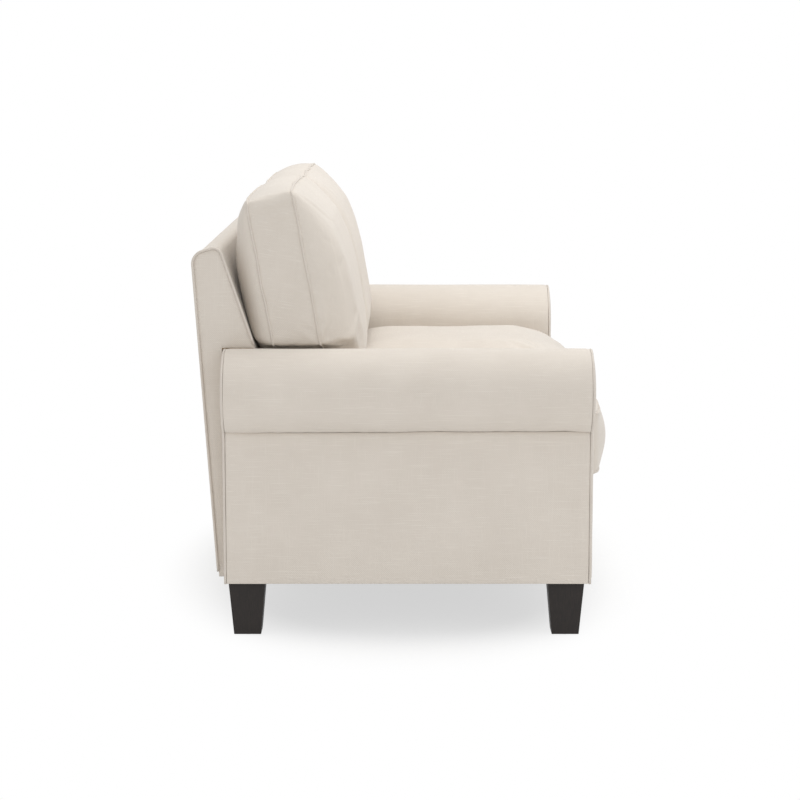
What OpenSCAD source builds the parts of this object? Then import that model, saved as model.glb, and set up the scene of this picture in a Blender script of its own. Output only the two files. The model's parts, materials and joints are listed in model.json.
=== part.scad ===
// Loveseat with rolled arms, two loose seat cushions and two loose back cushions.
// X runs across the width, the front faces -Y and Z is up. The origin is on the
// floor, under the middle of the outline. Left is -X, right is +X.

/* [Body] */
// Clear width between the arms
seat_w = 1204; // [1040:4:1500]
// Length of an arm, from its front facing to its rear facing
arm_len = 788; // [740:4:860]
// Thickness of an arm below its roll
arm_t = 140; // [132:1:160]
// Radius of the arm's roll
roll_r = 93; // [86:1:110]
// Height of the top of the arms
arm_top_z = 618; // [600:2:660]
// Height of the body's lower edge
body_z = 118; // [80:1:140]
// Height of the deck that the seat cushions lie on
deck_z = 320; // [310:1:335]

/* [Back] */
// Height of the top of the back
back_top_z = 832; // [800:2:860]
// Thickness of the back at its top
back_top_t = 57; // [54:1:75]
// Lean of the outside of the back, in degrees
back_lean_out = 4; // [3:0.1:6]
// Lean of the inside of the back, in degrees
back_lean_in = 19; // [17:0.5:20.5]
// How far the foot of the back stands behind the arms
back_foot = 14; // [12:1:30]
// How far the back reaches out over each arm
wing_over = 68; // [50:1:80]

/* [Legs] */
// Width of a leg at its top
leg_top = 78; // [60:1:90]
// Width of a leg at its foot
leg_foot = 58; // [40:1:70]
// Distance from the arm's side panel to the leg
leg_in_x = 12; // [8:1:20]
// Distance from the front of the arm to the front legs
leg_in_front = 17; // [14:1:40]
// Distance from the rear of the arm to the rear legs
leg_in_rear = 11; // [11:1:40]
// Thickness of the glides under the legs
glide_t = 3; // [2:0.5:5]
// Radius of the glides
glide_r = 16; // [10:1:18]

/* [Seat cushions] */
// How far the front of the cushions reaches past the arms
seat_over = 55; // [40:1:70]
// Height of the border between the two welts
seat_border = 133; // [110:1:145]
// Rise of the crown above the upper welt
seat_crown = 71; // [40:1:85]
// Forward swell of the front border between its welts
seat_swell = 22; // [5:1:30]
// Thickness of the foam core
seat_core_t = 140; // [110:1:145]

/* [Back cushions] */
// Height of the cushion's boxing
back_cushion_h = 447; // [400:1:500]
// Width of the border between the two welts
back_border = 100; // [90:1:120]
// Rise of the front crown
back_crown = 88; // [60:1:110]
// Rise of the rear crown
back_rear_crown = 48; // [30:1:60]
// Distance from the rear edge of the border to the back that the cushion rests on, half-way up
back_rest = 52; // [44:1:60]
// How far each cushion reaches out over the arm, welts included
back_cushion_over = 65; // [40:1:90]
// Lean of the cushions, in degrees
cushion_lean = 10.2; // [8:0.1:13]
// Thickness of the filled core
back_core_t = 110; // [80:1:120]

/* [Materials] */
// Thickness of a cover with its wadding
cover_t = 3; // [2:0.5:4]
// Thickness of the stiffened outside panels
panel_t = 4; // [3:0.5:5]
// Thickness of the foam on the arms' rolls
roll_foam_t = 20; // [14:1:26]
// Thickness of the foam on the inside of the back
back_foam_t = 24; // [16:1:28]
// Thickness of the frame's boards
board_t = 22; // [18:1:24]
// Thickness of the plywood ribs
ply_t = 18; // [12:1:21]
// Radius of the welt cords
welt_r = 2.7; // [2:0.1:3.5]
// Radius of the spring wire
wire_r = 1.9; // [1.5:0.1:2.2]
// Radius of the frame's bolts
bolt_r = 4; // [3:0.5:5]

/* [Fits] */
// Gap between pieces that lie against each other
fit = 0.3; // [0.2:0.05:0.5]
// Gap round the loose cushions
cushion_fit = 0.5; // [0.4:0.1:1.5]
// Gap between the back and the arms
arm_gap = 1.5; // [1:0.5:3]

/* [Hidden] */

fabric = [0.89, 0.86, 0.80];
lining = [0.80, 0.77, 0.71];
foam = [0.94, 0.89, 0.68];
timber = [0.80, 0.66, 0.46];
stained = [0.15, 0.13, 0.12];
steel = [0.62, 0.63, 0.66];
nonwoven = [0.13, 0.13, 0.14];

// Places of the body's main faces, with Y measured from the arms' front facings
x_in = seat_w / 2;
x_out = x_in + arm_t;
roll_x = x_in + roll_r;
roll_z = arm_top_z - roll_r;
seam_x = x_out - roll_x;
seam_z = roll_z - sqrt(roll_r * roll_r - seam_x * seam_x);
seam_angle = atan2(seam_z - roll_z, seam_x);
wing_x = x_in + wing_over;
facing_t = 12;
rear_facing_t = 10;
dust_t = 1.5;
frame_z = body_z + dust_t + fit;
welt_off = (welt_r + fit) * cos(45);
welt_proud = welt_off + welt_r;

// Helpers for outlines
function unit(v) = v / norm(v);
function inward(a, b) = let (u = unit(b - a)) [-u[1], u[0]];
function meet(p, u, q, w) = p + u * cross(q - p, w) / cross(u, w);
function inset(pts, d) = let (n = len(pts)) [
    for (i = [0:n - 1]) let (a = pts[(i + n - 1) % n], p = pts[i], b = pts[(i + 1) % n])
        meet(p + d * inward(a, p), p - a, p + d * inward(p, b), b - p)
];
function fillet(a, p, b, r, n) = r <= 0 ? [p] :
    let (u = unit(a - p), w = unit(b - p), half = acos(u * w) / 2, c = p + unit(u + w) * r / sin(half),
        s = p + u * r / tan(half) - c, e = p + w * r / tan(half) - c, a0 = atan2(s[1], s[0]),
        d = atan2(e[1], e[0]) - a0, turn = d > 180 ? d - 360 : d < -180 ? d + 360 : d)
    [for (i = [0:n]) c + r * [cos(a0 + turn * i / n), sin(a0 + turn * i / n)]];
function rounded(pts, radii, n = 8) = let (m = len(pts)) [
    for (i = [0:m - 1]) each fillet(pts[(i + m - 1) % m], pts[i], pts[(i + 1) % m], radii[i], n)
];
function reversed(list) = [for (i = [len(list) - 1:-1:0]) list[i]];
function part_of(list, first, last) = [for (i = [first:last]) list[i]];

// Outline of the back in [y, z]: foot of the outside, rear and front of the top, foot of the inside
function outside_y(z) = arm_len + back_foot + (z - body_z) * tan(back_lean_out);
function inside_y(z) = outside_y(back_top_z) - back_top_t - (back_top_z - z) * tan(back_lean_in);
function inside_at(z, depth) = [inside_y(z) + depth / cos(back_lean_in), z];
top_fall = 16;
top_front_r = 18;
top_rear_r = 28;
arc_steps = 8;
back_corners = [
    [outside_y(body_z), body_z], [outside_y(back_top_z - top_fall), back_top_z - top_fall],
    [inside_y(back_top_z), back_top_z], [inside_y(deck_z + fit), deck_z + fit]
];
back_radii = [0, top_rear_r, top_front_r, 0];
function back_outline(depth) =
    rounded(inset(back_corners, depth), [for (r = back_radii) r > 0 ? max(0, r - depth) : 0]);
outside_top = back_outline(0)[1];
back_rear_y = max([for (p = back_outline(0)) p[0]]) + welt_proud;
centre_y = (back_rear_y - seat_over) / 2;

// Seat frame
border_recess = 8;
border_pad_t = 10;
front_rail_y = border_recess + cover_t + border_pad_t + 2 * fit;
side_rail_y = front_rail_y + board_t + fit;
rear_rail_y = inside_y(deck_z);
side_rail_len = rear_rail_y - side_rail_y - fit;
deck_pad_t = 13;
spring_z = deck_z - cover_t - 2 * fit - deck_pad_t - wire_r - 1.6;
rail_top_z = spring_z - wire_r - fit;
rib_y = rear_rail_y + board_t + fit;

// Draws a [y, z] outline as a solid from x0 to x1
module across(x0, x1, pts) translate([x0, 0, 0]) rotate([90, 0, 90]) linear_extrude(x1 - x0) polygon(pts);
// Draws an outline in the plane of X and Z as a solid from y0 to y1
module along(y0, y1) translate([0, y1, 0]) rotate([90, 0, 0]) linear_extrude(y1 - y0) children();
module block(low, high) translate(low) cube(high - low);
module on_side(side) mirror([side < 0 ? 1 : 0, 0, 0]) children();
module both_sides() for (side = [-1, 1]) on_side(side) children();
// Moves the body's frame, whose Y starts at the arms' front, to the part's origin
module placed() translate([0, -centre_y, 0]) children();

// Cross-section of an arm, drawn smaller by depth: a circle on a straight-sided post
module arm_section(depth, foot_z = body_z) {
    translate([roll_x, roll_z]) circle(r = roll_r - depth, $fn = 96);
    translate([x_in + depth, foot_z]) square([arm_t - 2 * depth, roll_z - foot_z]);
}
// The room that the back leaves for the arms
module arm_room() both_sides() along(-10, arm_len + arm_gap) arm_section(-arm_gap, body_z - 10);

// A tube of radius r along a path, with its rings set square to the path
function tube_frame(path, i, closed) =
    let (n = len(path), a = path[closed ? (i + n - 1) % n : max(i - 1, 0)],
        b = path[closed ? (i + 1) % n : min(i + 1, n - 1)], t = unit(b - a),
        side = unit(abs(t[2]) < 0.9 ? cross(t, [0, 0, 1]) : cross(t, [0, 1, 0])))
    [side, cross(side, t)];
module tube(path, r, sides, closed = false) {
    n = len(path);
    bands = closed ? n : n - 1;
    points = [
        for (i = [0:n - 1]) let (f = tube_frame(path, i, closed))
            for (k = [0:sides - 1]) path[i] + r * (cos(360 * k / sides) * f[0] + sin(360 * k / sides) * f[1])
    ];
    sleeve = [
        for (i = [0:bands - 1], k = [0:sides - 1])
            let (a = i * sides + k, b = i * sides + (k + 1) % sides,
                c = ((i + 1) % n) * sides + k, d = ((i + 1) % n) * sides + (k + 1) % sides)
            each [[a, b, c], [b, d, c]]
    ];
    last = (n - 1) * sides;
    caps = closed ? [] : [
        for (k = [1:sides - 2]) each [[0, k + 1, k], [last, last + k, last + k + 1]]
    ];
    polyhedron(points, concat(sleeve, caps));
}

// Boxed cushion: an outline with round corners in X and Y, its border along Z, and a crown on each face.
// The outline lists the sides in order, each [corner where it starts, how far that corner climbs for each
// mm along Z, its radius, bow, swell, steps]. The bow is how far a side stands out between its corners
// at the welts, and the swell is how much further it stands out half-way down the border.
cushion_corner_r = 26;
corner_steps = 4;
function four_sides(half, bow, swell) = let (a = half[0], b = half[1]) [
    for (i = [0:3]) [[[a, -b], [a, b], [-a, b], [-a, -b]][i], 0, cushion_corner_r, bow[i], swell[i], 5]
];
function bowed(t, bow) = bow * (1 - pow(2 * t - 1, 4));
// The outline at height z with a share of its swell, set out by off
function cushion_ring(sides, z, share, off = 0) = let (
        n = len(sides), corners = inset([for (s = sides) s[0] + [0, s[1] * z]], -off),
        arcs = [for (i = [0:n - 1])
            fillet(corners[(i + n - 1) % n], corners[i], corners[(i + 1) % n], sides[i][2], corner_steps)]
    ) [for (i = [0:n - 1]) let (s = sides[i], start = arcs[i][corner_steps], end = arcs[(i + 1) % n][0])
        each concat(arcs[i], [for (k = [1:s[5] - 1]) let (t = k / s[5])
            start + (end - start) * t - inward(start, end) * bowed(t, s[3] + share * s[4])])
    ];
// How full the crown is at share s of the way from the centre to the welt, in the direction of p
function fullness(s, p, full) = let (d = norm(p) > 0 ? unit(p) : [1, 0],
        power = full[0] * d[0] * d[0] + (d[1] > 0 ? full[1] : full[2]) * d[1] * d[1])
    pow(max(0, 1 - pow(s, power)), full[3]);
// A crown is [rise, fullness, room]. The room, where it has one, is [depth at the centre, growth along Y]
// up to what it rests on.
function crown_height(s, p, crown) = let (h = crown[0] * fullness(s, p, crown[1]), room = crown[2])
    is_undef(room) ? h : min(h, room[0] + room[1] * s * p[1]);
crown_shares = [0.98, 0.93, 0.83, 0.68, 0.48, 0.25];
border_steps = 4;
// Each cushion is [sides, border, crown above, crown below]
function crown_rings(c, up, crown) = [for (s = crown_shares) [
    for (p = cushion_ring(c[0], up * c[1] / 2, 0))
        [p[0] * s, p[1] * s, up * (c[1] / 2 + crown_height(s, p, crown))]
]];
function border_rings(c) = [for (i = [0:border_steps]) let (t = i / border_steps, z = (t - 0.5) * c[1])
    [for (p = cushion_ring(c[0], z, sin(180 * t))) [p[0], p[1], z]]
];
module cushion_form(c) {
    rings = concat(reversed(crown_rings(c, -1, c[3])), border_rings(c), crown_rings(c, 1, c[2]));
    m = len(rings[0]);
    n = len(rings);
    bottom = n * m;
    poles = [for (up = [-1, 1]) [0, 0, up * (c[1] / 2 + crown_height(0, [0, 0], up < 0 ? c[3] : c[2]))]];
    faces = concat(
        [for (i = [0:n - 2], k = [0:m - 1]) let (a = i * m + k, b = i * m + (k + 1) % m)
            each [[a, a + m, b], [b, a + m, b + m]]],
        [for (k = [0:m - 1]) let (b = (k + 1) % m, last = (n - 1) * m)
            each [[bottom, k, b], [bottom + 1, last + b, last + k]]]
    );
    polyhedron(concat([for (r = rings) each r], poles), faces);
}
// The two welts, which lie outside the edges between the border and the faces
module cushion_welts(c) for (up = [-1, 1])
    tube([for (p = cushion_ring(c[0], up * c[1] / 2, 0, welt_off)) [p[0], p[1], up * (c[1] / 2 + welt_off)]],
        welt_r, 5, true);
// The cover with its wadding, hollow where the core lies
module cushion_cover(c, core) difference() {
    cushion_form(c);
    cube(core + 2 * fit * [1, 1, 1], center = true);
}

// Seat cushions. The zip takes the room behind the rear border.
zip_room = 8;
seat_half_x = (x_in - 2 * cushion_fit) / 2 - welt_proud;
seat_bow_front = 8;
seat_front_y = -seat_over + seat_swell + seat_bow_front;
seat_rear_y = rear_rail_y - zip_room - 2 * welt_proud;
seat_half_y = (seat_rear_y - seat_front_y) / 2;
seat_mid_y = (seat_rear_y + seat_front_y) / 2;
seat_under = 10;
seat_full = [3.5, 3.5, 6, 0.75];
seat_cushion = [
    four_sides([seat_half_x, seat_half_y], [-4, 0, -4, seat_bow_front], [2, 0, 2, seat_swell]), seat_border,
    [seat_crown, seat_full], [seat_under, [14, 14, 14, 0.5]]
];
seat_mid_z = deck_z + cushion_fit + seat_under + seat_border / 2;
seat_core = [2 * seat_half_x - 44, 2 * seat_half_y - 36, seat_core_t];
function cushion_x(side) = side * x_in / 2;
module at_seat(side) translate([cushion_x(side), seat_mid_y, seat_mid_z]) children();
// Height of the seat's crown half-way across, on the form's own facets
seat_profile = concat(
    [for (s = concat([1], crown_shares, [0])) [seat_mid_y - s * (seat_half_y + seat_bow_front),
        seat_mid_z + seat_border / 2 + seat_crown * fullness(s, [0, -1], seat_full)]],
    [for (s = reversed(concat([1], crown_shares))) [seat_mid_y + s * seat_half_y,
        seat_mid_z + seat_border / 2 + seat_crown * fullness(s, [0, 1], seat_full)]]
);

// Back cushions: they rest on the inside of the back and stand on the rear of the seat cushions
back_half = [seat_half_x, back_cushion_h / 2];
back_crown_full = [4, 2, 8, 0.62];
back_core = [2 * seat_half_x - 60, back_cushion_h - 60, back_core_t];
function leaned(v, n) =
    [v * sin(cushion_lean) - n * cos(cushion_lean), v * cos(cushion_lean) + n * sin(cushion_lean)];
touch_steps = 60;
// Points of the cushion's middle that can touch the seat, from its own middle
cushion_under = concat(
    [for (i = [0:touch_steps]) let (s = i / touch_steps)
        leaned(-s * back_half[1], back_border / 2 + back_crown * fullness(s, [0, -1], back_crown_full))],
    [for (q = [0:30:330]) leaned(-back_half[1] - welt_off, back_border / 2 + welt_off)
        + welt_r * [cos(q), sin(q)]]
);
lean_normal = [-cos(back_lean_in), sin(back_lean_in)];
lean_reach = cushion_fit + lean_normal
    * ([inside_y(back_top_z), back_top_z] - leaned(0, -back_border / 2 - back_rest));
function leant_y(z) = (lean_reach - z * lean_normal[1]) / lean_normal[0];
function stood_z(y) = cushion_fit + max([
    for (q = cushion_under) (y + q[0] < seat_rear_y ? lookup(y + q[0], seat_profile) : 0) - q[1]
]);
function settled_z(z, rounds) = rounds == 0 ? z : settled_z(stood_z(leant_y(z)), rounds - 1);
back_cushion_z = settled_z(deck_z + seat_border + back_half[1], 12);
back_cushion_y = leant_y(back_cushion_z);
// Each has an ear that lies over the arm. Its foot clears the roll and is level when the cushion leans,
// and the notch before it is as round as the ear's length lets it be, so it follows the roll.
ear_r = 18;
ear_flat = 4;
ear_x = x_in + back_cushion_over - welt_proud - cushion_x(1);
notch_r = ear_x - back_half[0] - ear_r - ear_flat;
ear_foot_z = roll_z + sqrt(pow(roll_r, 2) - pow(max(0, roll_r - back_cushion_over), 2))
    + cushion_fit + welt_proud;
ear_y = max((ear_foot_z - back_cushion_z) / cos(cushion_lean),
    cushion_corner_r + notch_r - back_half[1] + tan(cushion_lean) * back_border / 2);
back_sides = let (a = back_half[0], b = back_half[1], r = cushion_corner_r, climb = -tan(cushion_lean)) [
    [[a, -b], 0, r, -1, 1, 2],
    [[a, ear_y], climb, notch_r, 0, 0, 2],
    [[ear_x, ear_y], climb, ear_r, -4, 2, 5],
    [[ear_x, b], 0, r, 6, 16, 6],
    [[-a, b], 0, r, -4, 2, 5],
    [[-a, -b], 0, r, 0, 3, 3]
];
back_cushion = [
    back_sides, back_border, [back_crown, back_crown_full],
    [back_rear_crown, [4, 5, 4, 0.62], [back_rest, tan(back_lean_in - cushion_lean)]]
];
module at_back(side) translate([cushion_x(side), back_cushion_y, back_cushion_z])
    rotate([90 - cushion_lean, 0, 0]) on_side(side) children();

// Zip: tape and chain along X, with its slider at the left end
zip_len = 420;
zip_tape = [zip_len, 1.2, 26];
zip_chain = [zip_len - 10, 1, 6];
slider = [14, 3, 10];
pull_len = 22;
module zip_strip() {
    block([-zip_len / 2, fit, -zip_tape[2] / 2], [zip_len / 2, fit + zip_tape[1], zip_tape[2] / 2]);
    block([-zip_chain[0] / 2, fit + zip_tape[1], -zip_chain[2] / 2],
        [zip_chain[0] / 2, fit + zip_tape[1] + zip_chain[1], zip_chain[2] / 2]);
}
module zip_slider() translate([-zip_chain[0] / 2, 2 * fit + zip_tape[1] + zip_chain[1], 0]) {
    block([0, 0, -slider[2] / 2], slider - [0, 0, slider[2] / 2]);
    block([slider[0] / 2 - 3, slider[1] - 1.2, -slider[2] / 2 - pull_len], [slider[0] / 2 + 3, slider[1], 0]);
}

// Seat frame and deck
bolt_ys = [for (t = [0.2, 0.5, 0.8]) side_rail_y + t * side_rail_len];
bolt_z = (frame_z + rail_top_z) / 2;
back_bolt_xs = [-0.65 * x_in, 0.65 * x_in];
inner_rail_h = 100;
bolt_head_r = 2 * bolt_r;
bolt_head_t = 5;
module bolt_holes_x(r) for (y = bolt_ys) translate([x_in / 2, y, bolt_z])
    rotate([0, 90, 0]) cylinder(r = r, h = x_in, $fn = 32);
module bolt_holes_y(r) for (x = back_bolt_xs) translate([x, rear_rail_y - 20, bolt_z])
    rotate([-90, 0, 0]) cylinder(r = r, h = 90, $fn = 32);
module front_rail() color(timber)
    block([-x_in + fit, front_rail_y, frame_z], [x_in - fit, front_rail_y + board_t, rail_top_z]);
module rear_rail() color(timber) difference() {
    block([-x_in + fit, rear_rail_y, frame_z], [x_in - fit, rear_rail_y + board_t, rail_top_z]);
    bolt_holes_y(bolt_r + fit);
}
module side_rails() color(timber) both_sides() difference() {
    block([x_in - fit - board_t, side_rail_y, frame_z],
        [x_in - fit, side_rail_y + side_rail_len, rail_top_z]);
    bolt_holes_x(bolt_r + fit);
}
module centre_rail() color(timber)
    block([-board_t / 2, side_rail_y, frame_z], [board_t / 2, side_rail_y + side_rail_len, rail_top_z - 40]);
block_leg = 64;
block_h = 70;
block_x = x_in - 2 * fit - board_t;
module corner_blocks() color(timber) both_sides() for (rear = [0, 1])
    translate([block_x, side_rail_y + rear * side_rail_len, (frame_z + rail_top_z - block_h) / 2])
        mirror([1, 0, 0]) mirror([0, rear, 0])
            linear_extrude(block_h) polygon([[0, 0], [block_leg, 0], [0, block_leg]]);

// Zigzag springs from the front rail to the rear rail, four under each seat cushion
spring_count = 8;
spring_half_waves = 12;
spring_swing = 24;
spring_y0 = front_rail_y + board_t / 2;
spring_y1 = rear_rail_y + board_t / 2;
function spring_x(i) = (i + 0.5 - spring_count / 2) * (2 * x_in - 80) / spring_count;
spring_tail = 14;
function spring_path(x) = concat(
    [[x, spring_y0, spring_z]],
    [for (i = [0:4 * spring_half_waves]) let (t = i / (4 * spring_half_waves))
        [x + spring_swing * sin(180 * spring_half_waves * t),
            spring_y0 + spring_tail + t * (spring_y1 - spring_y0 - 2 * spring_tail), spring_z]],
    [[x, spring_y1, spring_z]]
);
module seat_springs() color(steel) for (i = [0:spring_count - 1]) tube(spring_path(spring_x(i)), wire_r, 5);
clip_t = 1;
module spring_clips() color(steel) for (i = [0:spring_count - 1], y = [spring_y0, spring_y1])
    translate([spring_x(i), y, rail_top_z + fit]) difference() {
        block([-12, -5, 0], [12, 5, 2 * wire_r + fit + clip_t]);
        block([-wire_r - fit, -6, -1], [wire_r + fit, 6, 2 * wire_r + fit]);
    }
module deck_pad() color(foam)
    block([-x_in + 2 * fit, side_rail_y - board_t, deck_z - cover_t - fit - deck_pad_t],
        [x_in - 2 * fit, rear_rail_y - 4, deck_z - cover_t - fit]);
deck_seam_y = 70;
module deck_cover() color(lining)
    block([-x_in + fit, deck_seam_y + fit, deck_z - cover_t], [x_in - fit, rear_rail_y - fit, deck_z]);
module front_border_pad() color(foam)
    block([-x_in + 2 * fit, border_recess + cover_t + fit, frame_z],
        [x_in - 2 * fit, border_recess + cover_t + fit + border_pad_t, deck_z - cover_t - 12]);
border_corners = [[border_recess, body_z + fit], [border_recess, deck_z], [deck_seam_y, deck_z]];
border_r = 14;
module front_border_cover() color(fabric) across(-x_in + fit, x_in - fit, concat(
    [border_corners[0]],
    fillet(border_corners[0], border_corners[1], border_corners[2], border_r, arc_steps),
    [border_corners[2], border_corners[2] - [0, cover_t]],
    reversed(fillet(border_corners[0] + [cover_t, 0], border_corners[1] + [cover_t, -cover_t],
        border_corners[2] - [0, cover_t], border_r - cover_t, arc_steps)),
    [border_corners[0] + [cover_t, 0]]
));
module dust_cover() color(nonwoven) difference() {
    block([-x_out + panel_t + fit, border_recess + cover_t + fit, body_z],
        [x_out - panel_t - fit, outside_y(body_z) - panel_t - fit, body_z + dust_t]);
    both_sides() for (y = leg_ys)
        translate([leg_x, y, body_z + dust_t / 2])
            cube([leg_top + 2 * fit, leg_top + 2 * fit, 3 * dust_t], center = true);
    low = body_z - 1;
    high = body_z + 2 * dust_t;
    both_sides() block([wing_x - cover_t - fit, arm_len, low], [x_out, outside_y(back_top_z), high]);
    both_sides() block([x_in, 0, low], [x_out, facing_t + 2 * fit, high]);
    both_sides() block([x_in, arm_len - rear_facing_t - fit, low], [x_out, arm_len + arm_gap, high]);
}

// Arms
arm_inner_foam_t = 10;
stump_r = roll_r - cover_t - roll_foam_t - 2 * fit;
stump_x0 = x_in + cover_t + arm_inner_foam_t + 2 * fit;
stump_x1 = x_out - panel_t - fit;
stump_y0 = facing_t + fit;
stump_y1 = arm_len - rear_facing_t - fit;
arm_rail_y0 = stump_y0 + board_t + fit;
arm_rail_y1 = stump_y1 - board_t - fit;
module stump_section(grow) {
    translate([roll_x, roll_z]) circle(r = stump_r + grow, $fn = 96);
    translate([stump_x0 - grow, frame_z - grow])
        square([stump_x1 - stump_x0 + 2 * grow, roll_z - frame_z + 2 * grow]);
}
module arm_stumps(side) color(timber) on_side(side) {
    along(stump_y0, stump_y0 + board_t) stump_section(0);
    along(stump_y1 - board_t, stump_y1) stump_section(0);
}
module arm_rails(side) color(timber) on_side(side) {
    difference() {
        block([x_in + cover_t + fit, arm_rail_y0, frame_z], [stump_x1, arm_rail_y1, frame_z + board_t]);
        for (y = leg_ys) translate([leg_x, y, frame_z - 5])
            cylinder(r = bolt_r + fit, h = board_t + 10, $fn = 32);
    }
    difference() {
        block([stump_x0, arm_rail_y0, bolt_z - inner_rail_h / 2 + 10],
            [stump_x0 + board_t, arm_rail_y1, bolt_z + inner_rail_h / 2]);
        bolt_holes_x(bolt_r + fit);
    }
    block([roll_x - 30, arm_rail_y0, roll_z - board_t / 2], [roll_x + 30, arm_rail_y1, roll_z + board_t / 2]);
}
// A band of the roll between two radii, from the seam over the top to the inside of the arm
module roll_band(r0, r1) translate([roll_x, roll_z]) difference() {
    circle(r = r1, $fn = 96);
    circle(r = r0, $fn = 96);
    polygon([
        [0, 0], 2 * roll_r * [cos(seam_angle), sin(seam_angle)], [0, -3 * roll_r], [-3 * roll_r, -3 * roll_r],
        [-3 * roll_r, 0]
    ]);
}
module arm_foam(side) color(foam) on_side(side) along(stump_y0, stump_y1) difference() {
    union() {
        roll_band(stump_r, roll_r - cover_t - fit);
        translate([x_in + cover_t + fit, deck_z]) square([arm_inner_foam_t, roll_z - deck_z]);
    }
    stump_section(fit);
}
arm_cover_y0 = facing_t / 2 + welt_r + fit;
arm_cover_y1 = arm_len - rear_facing_t / 2 - welt_r - fit;
module arm_cover(side) color(fabric) on_side(side) difference() {
    along(arm_cover_y0, arm_cover_y1) {
        roll_band(roll_r - cover_t, roll_r);
        translate([x_in, frame_z]) square([cover_t, roll_z - frame_z]);
    }
    bolt_holes_x(bolt_r + fit);
}
module arm_side_panel(side) color(fabric) on_side(side)
    block([x_out - panel_t, arm_cover_y0, body_z + fit], [x_out, arm_cover_y1, seam_z - fit]);
module arm_front_facing(side) color(fabric) on_side(side)
    along(0, facing_t) arm_section(2 * welt_r + fit);
module arm_rear_facings() color(fabric) both_sides()
    along(arm_len - rear_facing_t, arm_len) arm_section(2 * welt_r + fit);
// A welt lies round the edge of each facing, up its inside, over the roll and down its outside.
// Its three lengths of cord butt together, fit apart.
module arm_welt(y) translate([0, y, 0]) {
    bend = roll_r - welt_r;
    end = -acos((x_out - welt_r - roll_x) / bend);
    translate([x_in + welt_r, 0, body_z + fit]) cylinder(r = welt_r, h = roll_z - body_z - 2 * fit, $fn = 24);
    difference() {
        translate([x_out - welt_r, 0, body_z + fit]) cylinder(r = welt_r, h = roll_z - body_z, $fn = 24);
        translate([roll_x, 0, roll_z]) rotate([0, -end, 0])
            block([0, -10, -fit], [2 * roll_r, 10, 3 * roll_r]);
        translate([roll_x, 10, roll_z]) rotate([90, 0, 0])
            cylinder(r = roll_r - 2 * welt_r, h = 20, $fn = 96);
    }
    translate([roll_x, 0, roll_z]) rotate([90, 0, 0]) rotate([0, 0, end])
        rotate_extrude(angle = 180 - end, $fn = 96) translate([bend, 0]) circle(r = welt_r, $fn = 24);
}
module arm_welts(side) color(fabric) on_side(side) {
    arm_welt(facing_t / 2);
    arm_welt(arm_len - rear_facing_t / 2);
}

// Back
webbing_room = 3.5;
rail_depth = cover_t + back_foam_t + webbing_room;
top_rail_drop = 70;
top_rail_cap = 22;
top_rail_z0 = back_top_z - top_rail_drop;
top_rail_z1 = back_top_z - top_fall - top_rail_cap;
top_rail_step = 1.5;
lumbar_h = 60;
lumbar_z0 = (deck_z + top_rail_z0 - lumbar_h) / 2;
lumbar_z1 = lumbar_z0 + lumbar_h;
bottom_rail_h = 100;
bottom_rail_z1 = frame_z + bottom_rail_h;
low_rail_end = 6;
rib_foot_drop = 12;
rib_hole_r = 34;
rib_hole_back = 10;
rib_hole_drop = 20;
rib_top_z = top_rail_z0 - fit;
rib_outside = panel_t + fit;
rib_xs = [x_in - 22 - ply_t / 2, x_in / 3];
module lumbar_shape(x0, x1, grow) across(x0, x1, [
    inside_at(lumbar_z0 - grow, rail_depth - 20 * grow),
    inside_at(lumbar_z0 - grow, rail_depth + board_t + grow),
    inside_at(lumbar_z1 + grow, rail_depth + board_t + grow),
    inside_at(lumbar_z1 + grow, rail_depth - 20 * grow)
]);
module back_ribs() color(timber) both_sides() for (x = rib_xs) difference() {
    across(x - ply_t / 2, x + ply_t / 2, [
        [rib_y, frame_z], [outside_y(frame_z) - rib_outside, frame_z],
        [outside_y(rib_top_z) - rib_outside, rib_top_z], inside_at(rib_top_z, rail_depth),
        inside_at(deck_z, rail_depth), [rib_y, deck_z - rib_foot_drop]
    ]);
    lumbar_shape(x - ply_t, x + ply_t, fit);
    block([x - ply_t, rib_y - 1, frame_z - 1], [x + ply_t, rib_y + board_t + fit, bottom_rail_z1 + fit]);
    translate([
        x - ply_t, (inside_at(deck_z, rail_depth)[0] + outside_y(deck_z)) / 2 + rib_hole_back,
        deck_z - rib_hole_drop
    ]) rotate([0, 90, 0]) cylinder(r = rib_hole_r, h = 2 * ply_t, $fn = 48);
}
module back_rails() color(timber) {
    across(-wing_x + cover_t + ply_t + 3 * fit, wing_x - cover_t - ply_t - 3 * fit, [
        inside_at(top_rail_z0, rail_depth), inside_at(top_rail_z1, rail_depth),
        [outside_y(top_rail_z1) - rib_outside - top_rail_step, top_rail_z1],
        [outside_y(top_rail_z0) - rib_outside, top_rail_z0]
    ]);
    lumbar_shape(-x_in + low_rail_end, x_in - low_rail_end, 0);
    difference() {
        block([-x_in + low_rail_end, rib_y, frame_z], [x_in - low_rail_end, rib_y + board_t, bottom_rail_z1]);
        bolt_holes_y(bolt_r + fit);
    }
}
module wing_frames() color(timber) both_sides() difference() {
    across(wing_x - cover_t - ply_t - fit, wing_x - cover_t - fit, back_outline(max(cover_t, panel_t) + fit));
    arm_room();
    block([x_in - 20, 0, 0], [wing_x + 20, arm_len + arm_gap, arm_top_z - roll_r]);
}
strap_w = 50;
strap_t = 2.2;
strap_count = 7;
module back_webbing() color(lining) for (i = [0:strap_count - 1])
    let (x = (i - (strap_count - 1) / 2) * 2 * (x_in - 70) / (strap_count - 1))
        across(x - strap_w / 2, x + strap_w / 2, [
            inside_at(deck_z + 4, rail_depth - fit - strap_t), inside_at(deck_z + 4, rail_depth - fit),
            inside_at(top_rail_z1, rail_depth - fit), inside_at(top_rail_z1, rail_depth - fit - strap_t)
        ]);
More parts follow.
